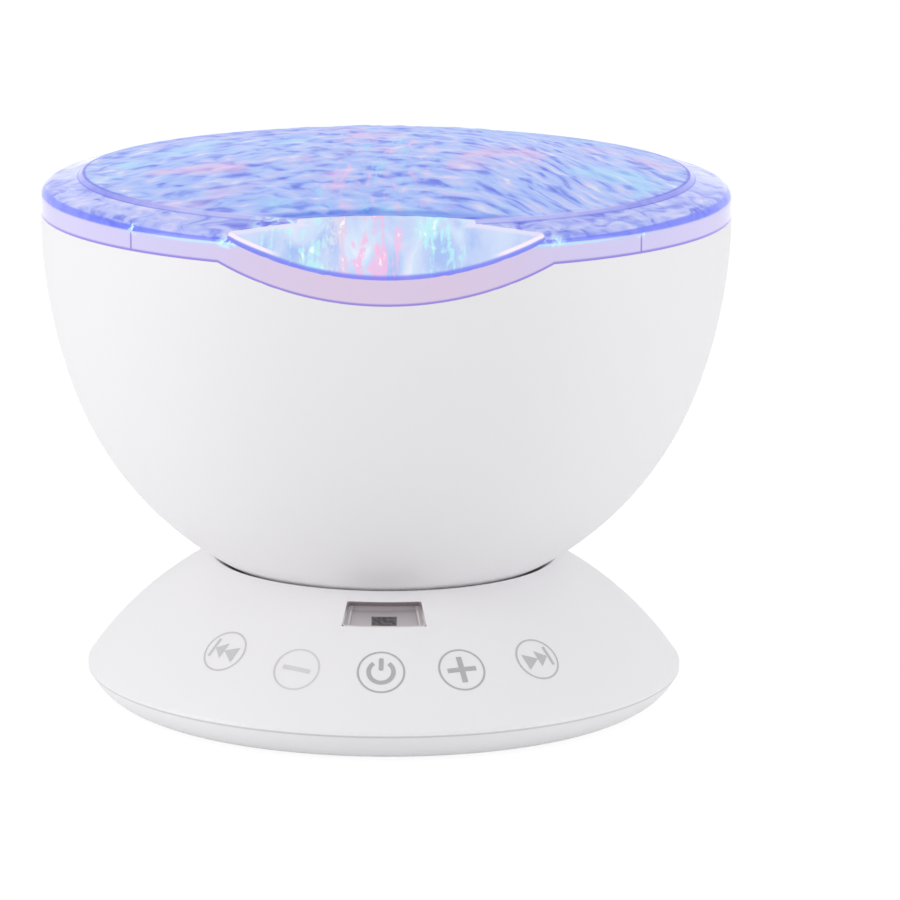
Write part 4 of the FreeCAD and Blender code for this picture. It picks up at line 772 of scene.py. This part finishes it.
def smooth_shell(node_name, piece_name, finish, arcs):
    """A copy of a node with its seams merged and its curves shaded smoothly."""
    piece = nodes[node_name].copy()
    piece.data = nodes[node_name].data.copy()
    piece.parent = None
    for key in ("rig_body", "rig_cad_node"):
        del piece[key]
    piece.name = piece_name
    bpy.context.scene.collection.objects.link(piece)
    make_active(piece)
    bpy.ops.object.mode_set(mode="EDIT")
    bpy.ops.mesh.select_all(action="SELECT")
    bpy.ops.mesh.remove_doubles(threshold=MERGE_DISTANCE)
    finish_piece(piece)
    smooth_shading(piece, 30)
    apply_modifier(piece, "WEIGHTED_NORMAL", mode="FACE_AREA", weight=50, keep_sharp=True)
    shade_true(piece, arcs)
    give_finish(piece, finish)
    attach(piece, nodes[node_name]["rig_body"])
    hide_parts(node_name)
    return piece


def lid_profile():
    """Radius and height along the lid's outside, from its lowest front edge up to the middle."""
    points = []
    for height in [LID_LOW] + steps_between(LID_LOW, RIM_HEIGHT, 14):
        drop = RIM_HEIGHT - height
        points.append((RIM_RADIUS - SIDE_ROUND + math.sqrt(SIDE_ROUND ** 2 - drop ** 2), height))
    straight_top = MARGIN_HEIGHT - EDGE_ROUND
    points += [(RIM_RADIUS, height) for height in steps_between(RIM_HEIGHT, straight_top, 4)]
    for turn in steps_between(0, math.pi / 2, 8):
        points.append((RIM_RADIUS - EDGE_ROUND * (1 - math.cos(turn)),
                       straight_top + EDGE_ROUND * math.sin(turn)))
    for share in steps_between(0, 1, 5):
        points.append((MARGIN_RADIUS - MARGIN_WIDTH * share,
                       MARGIN_HEIGHT + (RING_FOOT - MARGIN_HEIGHT) * share))
    points += [(0.06672, RING_FOOT + 0.00015), (0.06628, RING_HEIGHT - 0.00015), (0.06600, RING_HEIGHT)]
    dome = (RING_RADIUS ** 2 + DOME_RISE ** 2) / (2 * DOME_RISE)
    top = RING_HEIGHT + DOME_RISE
    for radius in steps_between(0.0656, 0.0, 74):
        points.append((radius, top - dome + math.sqrt(dome ** 2 - radius ** 2)))
    return points


def make_lid():
    """The lid: a spun shell, cut by the sloped window plane, trimmed along the bowl's edge,
    rippled on top and given its wall."""
    lid = turned_shell("rippled_lid", lid_profile(), 360)
    slope = Vector((0, -math.sin(EYE_SLOPE), math.cos(EYE_SLOPE)))
    bpy.ops.mesh.select_all(action="SELECT")
    cut_point = Vector((0, -RIM_RADIUS, EYE_LOW + EYE_BAND))
    bpy.ops.mesh.bisect(plane_co=cut_point, plane_no=slope, use_fill=True, clear_outer=True)
    bpy.ops.mesh.select_all(action="SELECT")
    bpy.ops.mesh.bisect(plane_co=(0, -RIM_RADIUS, EYE_LOW), plane_no=slope)
    bpy.ops.mesh.select_all(action="SELECT")
    bpy.ops.mesh.bisect(plane_co=(0, 0, RIM_HEIGHT), plane_no=(0, 0, 1))

    def below_edge(centre, _):
        front = EYE_LOW + (centre.y + RIM_RADIUS) * math.tan(EYE_SLOPE)
        return centre.z < min(RIM_HEIGHT, front)

    if select_faces(lid, below_edge):
        bpy.ops.mesh.delete(type="FACE")
    for finish in (FINISHES["lid_clear"], lit_dome_finish(), lit_window_finish()):
        lid.data.materials.append(finish)
    select_faces(lid, lambda centre, _: (centre.z > RING_HEIGHT - 0.0002
                                         and math.hypot(centre.x, centre.y) < RING_RADIUS))
    lid.active_material_index = 1
    bpy.ops.object.material_slot_assign()
    select_faces(lid, lambda centre, _: abs((centre - cut_point).dot(slope)) < 0.00001 and centre.y < -0.06)
    lid.active_material_index = 2
    bpy.ops.object.material_slot_assign()
    finish_piece(lid)

    ripples = bpy.data.textures.new("ripples", "CLOUDS")
    ripples.noise_scale = RIPPLE_SIZE
    ripples.noise_depth = 1
    crests = lid.vertex_groups.new(name="dome")
    for point in lid.data.vertices:
        radius = math.hypot(point.co.x, point.co.y)
        edge = EYE_LOW + EYE_BAND + (point.co.y + RIM_RADIUS) * math.tan(EYE_SLOPE) - point.co.z
        if radius < RIPPLE_RADIUS and edge > 0.0004:
            share = min(1.0, (RIPPLE_RADIUS - radius) / RIPPLE_FADE, edge / RIPPLE_FADE)
            crests.add([point.index], share, "REPLACE")
    apply_modifier(lid, "DISPLACE", texture=ripples, texture_coords="LOCAL", direction="NORMAL",
                   mid_level=1.0, strength=RIPPLE_DEPTH, vertex_group="dome")
    apply_modifier(lid, "SOLIDIFY", thickness=LID_WALL, offset=-1.0)
    smooth_shading(lid, 28)
    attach(lid, "head")
    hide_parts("lid")
    return lid


def make_window_lining():
    """Smoked lip that lines the signal window's opening, with rounded corners."""
    turn = math.radians(270 - WINDOW_HALF)
    centre_radius, centre_height, size = COVER_ARC
    rise = math.sqrt(size ** 2 - (WINDOW_CIRCLE - centre_radius) ** 2)
    out = Vector((math.cos(turn), math.sin(turn), 0))
    normal = (out * (WINDOW_CIRCLE - centre_radius) + Vector((0, 0, rise))).normalized()
    aside = Vector((-math.sin(turn), math.cos(turn), 0))
    down = aside.cross(normal)
    bpy.ops.mesh.primitive_plane_add(size=1)
    section = bpy.context.object
    middle = out * WINDOW_CIRCLE + Vector((0, 0, centre_height + rise)) - normal * LINING_DEPTH
    section.matrix_world = (Matrix.Translation(middle) @ Matrix((down, normal, aside)).transposed().to_4x4()
                            @ Matrix.Diagonal((WINDOW_LENGTH, LINING_HEIGHT, 1, 1)))
    lining = start_piece("window_lining")
    bpy.ops.mesh.spin(steps=22, angle=math.radians(-2 * WINDOW_HALF), center=(0, 0, 0), axis=(0, 0, 1))
    bpy.ops.mesh.select_all(action="SELECT")
    bpy.ops.mesh.remove_doubles(threshold=MERGE_DISTANCE)
    bpy.ops.mesh.normals_make_consistent(inside=False)

    def faces_out(centre, face_normal):
        spoke = Vector((centre.x, centre.y, 0)).normalized()
        lean = (spoke * (WINDOW_CIRCLE - centre_radius) + Vector((0, 0, rise))).normalized()
        return abs(face_normal.dot(lean)) > 0.9

    select_faces(lining, faces_out)
    bpy.ops.mesh.delete(type="ONLY_FACE")
    bpy.ops.mesh.select_mode(type="EDGE")
    bpy.ops.mesh.select_all(action="DESELECT")
    mesh = bmesh.from_edit_mesh(lining.data)
    for edge in mesh.edges:
        if len(edge.link_faces) == 2 and edge.calc_face_angle() > 1.0:
            edge.select_set(True)
    bmesh.update_edit_mesh(lining.data)
    bpy.ops.mesh.bevel(offset=LINING_CORNER, segments=5, affect="EDGES")
    finish_piece(lining)
    apply_modifier(lining, "SOLIDIFY", thickness=LINING_WALL, offset=-1.0)
    smooth_shading(lining, 40)
    give_finish(lining, lining_finish())
    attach(lining, "base")


def key_frame(angle, radius, turned):
    """Where a key lies on the cover: across it, up the slope and out of it, turned a little."""
    turn = math.radians(angle)
    centre_radius, centre_height, size = COVER_ARC
    out = Vector((math.cos(turn), math.sin(turn), 0))
    rise = math.sqrt(size ** 2 - (radius - centre_radius) ** 2)
    normal = (out * (radius - centre_radius) + Vector((0, 0, rise))).normalized()
    across = Vector((-math.sin(turn), math.cos(turn), 0))
    place = out * radius + Vector((0, 0, centre_height + rise))
    axes = Matrix((across, normal.cross(across), normal)).transposed().to_4x4()
    return Matrix.Translation(place) @ axes @ Matrix.Rotation(math.radians(turned), 4, "Z")


def flat_bar(name, centre, width, height, rounding=0.0):
    """A straight stroke of a sign, with or without rounded ends."""
    bpy.ops.mesh.primitive_plane_add(size=1, location=(*centre, 0))
    bpy.context.object.scale = (width, height, 1)
    piece = start_piece(name)
    if rounding:
        bpy.ops.mesh.bevel(offset=rounding, segments=6, affect="VERTICES")
    return finish_piece(piece)


def flat_ring(name, radius, line, gap=0.0):
    """A printed ring, open at its top over a gap of that many degrees."""
    bpy.ops.mesh.primitive_circle_add(vertices=96, radius=radius, fill_type="NGON")
    piece = start_piece(name)
    bpy.ops.mesh.inset(thickness=line)
    bpy.ops.mesh.delete(type="FACE")
    if gap:
        limit = math.cos(math.radians(gap / 2))
        select_faces(piece, lambda centre, _: centre.y > limit * math.hypot(centre.x, centre.y))
        bpy.ops.mesh.delete(type="FACE")
    return finish_piece(piece)


def flat_arrow(name, tip, width, half):
    """A filled arrow head, pointing along +X or -X."""
    bpy.ops.mesh.primitive_circle_add(vertices=3, radius=1, fill_type="NGON")
    piece = start_piece(name)
    bpy.ops.transform.rotate(value=math.pi / 2, orient_axis="Z", center_override=(0, 0, 0))
    points = [point.co for point in bmesh.from_edit_mesh(piece.data).verts]
    left = min(point.x for point in points)
    right = max(point.x for point in points)
    high = max(point.y for point in points)
    bpy.ops.transform.resize(value=(width / (right - left), half / high, 1), center_override=(0, 0, 0))
    points = [point.co for point in bmesh.from_edit_mesh(piece.data).verts]
    sharp = max(points, key=lambda point: -abs(point.y))
    bpy.ops.transform.translate(value=(tip - sharp.x, 0, 0))
    return finish_piece(piece)


def join_pieces(name, parts):
    make_active(parts[0])
    for part in parts:
        part.select_set(True)
    bpy.ops.object.join()
    parts[0].name = name
    parts[0].data.name = name
    return parts[0]


def make_sign(kind):
    """The strokes of one key's sign, drawn flat about its middle."""
    if kind == "power":
        return [flat_ring("arc", 0.0031, 0.00095, 74.0),
                flat_bar("stroke", (0, 0.00185), 0.0010, 0.0031, 0.00035)]
    if kind == "minus":
        return [flat_bar("stroke", (0, 0), 0.0063, 0.00105, 0.0003)]
    if kind == "plus":
        return [flat_bar("level", (0, 0), 0.0063, 0.0011),
                flat_bar("upper", (0, 0.00185), 0.0012, 0.0026),
                flat_bar("lower", (0, -0.00185), 0.0012, 0.0026)]
    sign = 1 if kind == "next" else -1
    return [flat_arrow("first", sign * 0.0001, sign * 0.0033, 0.0020),
            flat_arrow("second", sign * 0.0027, sign * 0.0026, 0.0020),
            flat_bar("stop", (sign * 0.0031, 0), 0.0007, 0.0047)]


def make_keys(cover):
    """Printed rings and signs of the five touch keys, laid on the cover."""
    for kind, angle, radius, turned in KEYS:
        parts = [flat_ring("rim", KEY_RADIUS, KEY_LINE), *make_sign(kind)]
        for part in parts:
            make_active(part)
            bpy.ops.object.mode_set(mode="EDIT")
            bpy.ops.mesh.select_all(action="SELECT")
            bpy.ops.mesh.quads_convert_to_tris(quad_method="BEAUTY", ngon_method="BEAUTY")
            bpy.ops.mesh.subdivide(number_cuts=2)
            finish_piece(part)
        sign = join_pieces(f"key_{kind}", parts)
        sign.matrix_world = key_frame(angle, radius, turned)
        bpy.context.view_layer.update()
        apply_modifier(sign, "SHRINKWRAP", target=cover, wrap_method="PROJECT", use_project_z=True,
                       use_negative_direction=True, use_positive_direction=True,
                       wrap_mode="ABOVE_SURFACE", offset=PRINT_LIFT)
        make_active(sign)
        bpy.ops.object.transform_apply(location=True, rotation=True, scale=True)
        give_finish(sign, PRINT_GREY)
        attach(sign, "base")


def make_lead():
    """The lead from the base up through the clamp post to the plug under the light deck."""
    plug_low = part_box("head_plug")[0]
    plug_side = -0.018
    board_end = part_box("lead_plug")[0]
    height = (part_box("lead_plug")[0].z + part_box("lead_plug")[1].z) / 2
    route = [(0, board_end.y, height), (0, board_end.y - 0.008, height), (0, 0.012, 0.005), (0, 0, 0.005),
             (0, 0, 0.0342), (-0.006, 0.009, 0.0522),
             (plug_side, 0, plug_low.z - 0.014), (plug_side, 0, plug_low.z)]
    curve = bpy.data.curves.new("lead_route", "CURVE")
    curve.dimensions = "3D"
    spline = curve.splines.new("NURBS")
    spline.points.add(len(route) - 1)
    for point, spot in zip(spline.points, route):
        point.co = (*spot, 1)
    spline.use_endpoint_u = True
    spline.order_u = 3
    curve.resolution_u = 12
    curve.bevel_depth = LEAD_RADIUS
    curve.bevel_resolution = 6
    curve.use_fill_caps = True
    thread = bpy.data.objects.new("sleeved_lead", curve)
    bpy.context.scene.collection.objects.link(thread)
    make_active(thread)
    bpy.ops.object.convert(target="MESH")
    lead = bpy.context.object
    lead.name = "sleeved_lead"
    give_finish(lead, FINISHES["lead_grey"])
    smooth_shading(lead, 40)
    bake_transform(lead)
    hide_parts("head_lead")


def make_stage():
    """A pale floor, soft light and white surroundings."""
    bpy.ops.mesh.primitive_plane_add(size=12, location=(0, 0, 0))
    floor = start_piece("floor")
    bpy.ops.mesh.subdivide(number_cuts=4)
    finish_piece(floor)
    material = bpy.data.materials.new("pale_floor")
    material.use_nodes = True
    made = Finish(material.node_tree)
    shader = material.node_tree.nodes["Principled BSDF"]
    shader.inputs["Base Color"].default_value = (0.95, 0.95, 0.95, 1)
    shader.inputs["Roughness"].default_value = 0.9
    shader.inputs["Specular IOR Level"].default_value = 0.0
    white = made.add("ShaderNodeEmission")
    white.inputs["Strength"].default_value = 1.1
    blend = made.add("ShaderNodeMixShader")
    made.feed(blend.inputs[0], made.math("MULTIPLY", made.seen_directly(), 0.82))
    made.links.new(shader.outputs[0], blend.inputs[1])
    made.links.new(white.outputs[0], blend.inputs[2])
    made.links.new(blend.outputs[0], material.node_tree.nodes["Material Output"].inputs["Surface"])
    floor.data.materials.append(material)

    world = bpy.data.worlds.new("studio")
    bpy.context.scene.world = world
    world.use_nodes = True
    made = Finish(world.node_tree)
    background = world.node_tree.nodes["Background"]
    background.inputs["Color"].default_value = (1, 1, 1, 1)
    made.feed(background.inputs["Strength"], made.math("MULTIPLY_ADD", made.seen_directly(), 0.42, 0.58))

    for name, place, size, power, colour in LIGHTS:
        lamp = bpy.data.lights.new(name, "AREA")
        lamp.shape = "DISK"
        lamp.size = size
        lamp.energy = power
        lamp.color = colour
        holder = bpy.data.objects.new(name, lamp)
        bpy.context.scene.collection.objects.link(holder)
        holder.location = place
        holder.rotation_euler = (Vector(LIGHTS_AIM) - Vector(place)).to_track_quat("-Z", "Y").to_euler()


def make_camera():
    view = bpy.data.cameras.new("camera")
    view.lens = CAMERA_LENS
    view.sensor_width = 36.0
    view.shift_x = CAMERA_SHIFT
    view.clip_start = 0.01
    view.clip_end = 50.0
    camera = bpy.data.objects.new("camera", view)
    bpy.context.scene.collection.objects.link(camera)
    tilt = Matrix.Rotation(math.radians(90 - CAMERA_DOWN), 4, "X")
    roll = Matrix.Rotation(math.radians(CAMERA_ROLL), 4, "Z")
    camera.matrix_world = Matrix.Translation(CAMERA_PLACE) @ tilt @ roll
    bpy.context.scene.camera = camera
    bpy.context.scene.view_settings.view_transform = "Standard"


make_camera()
make_stage()
finish_nodes()
smooth_shell("bowl", "white_bowl", SHELL_WHITE, [BALL_ARC, SIDE_ARC])
cover = smooth_shell("base_cover", "domed_cover", SEAMED_WHITE, [COVER_ARC])
smooth_shell("base_plate", "base_tray", SEAMED_WHITE, [])
make_lid()
make_window_lining()
make_keys(cover)
make_lead()
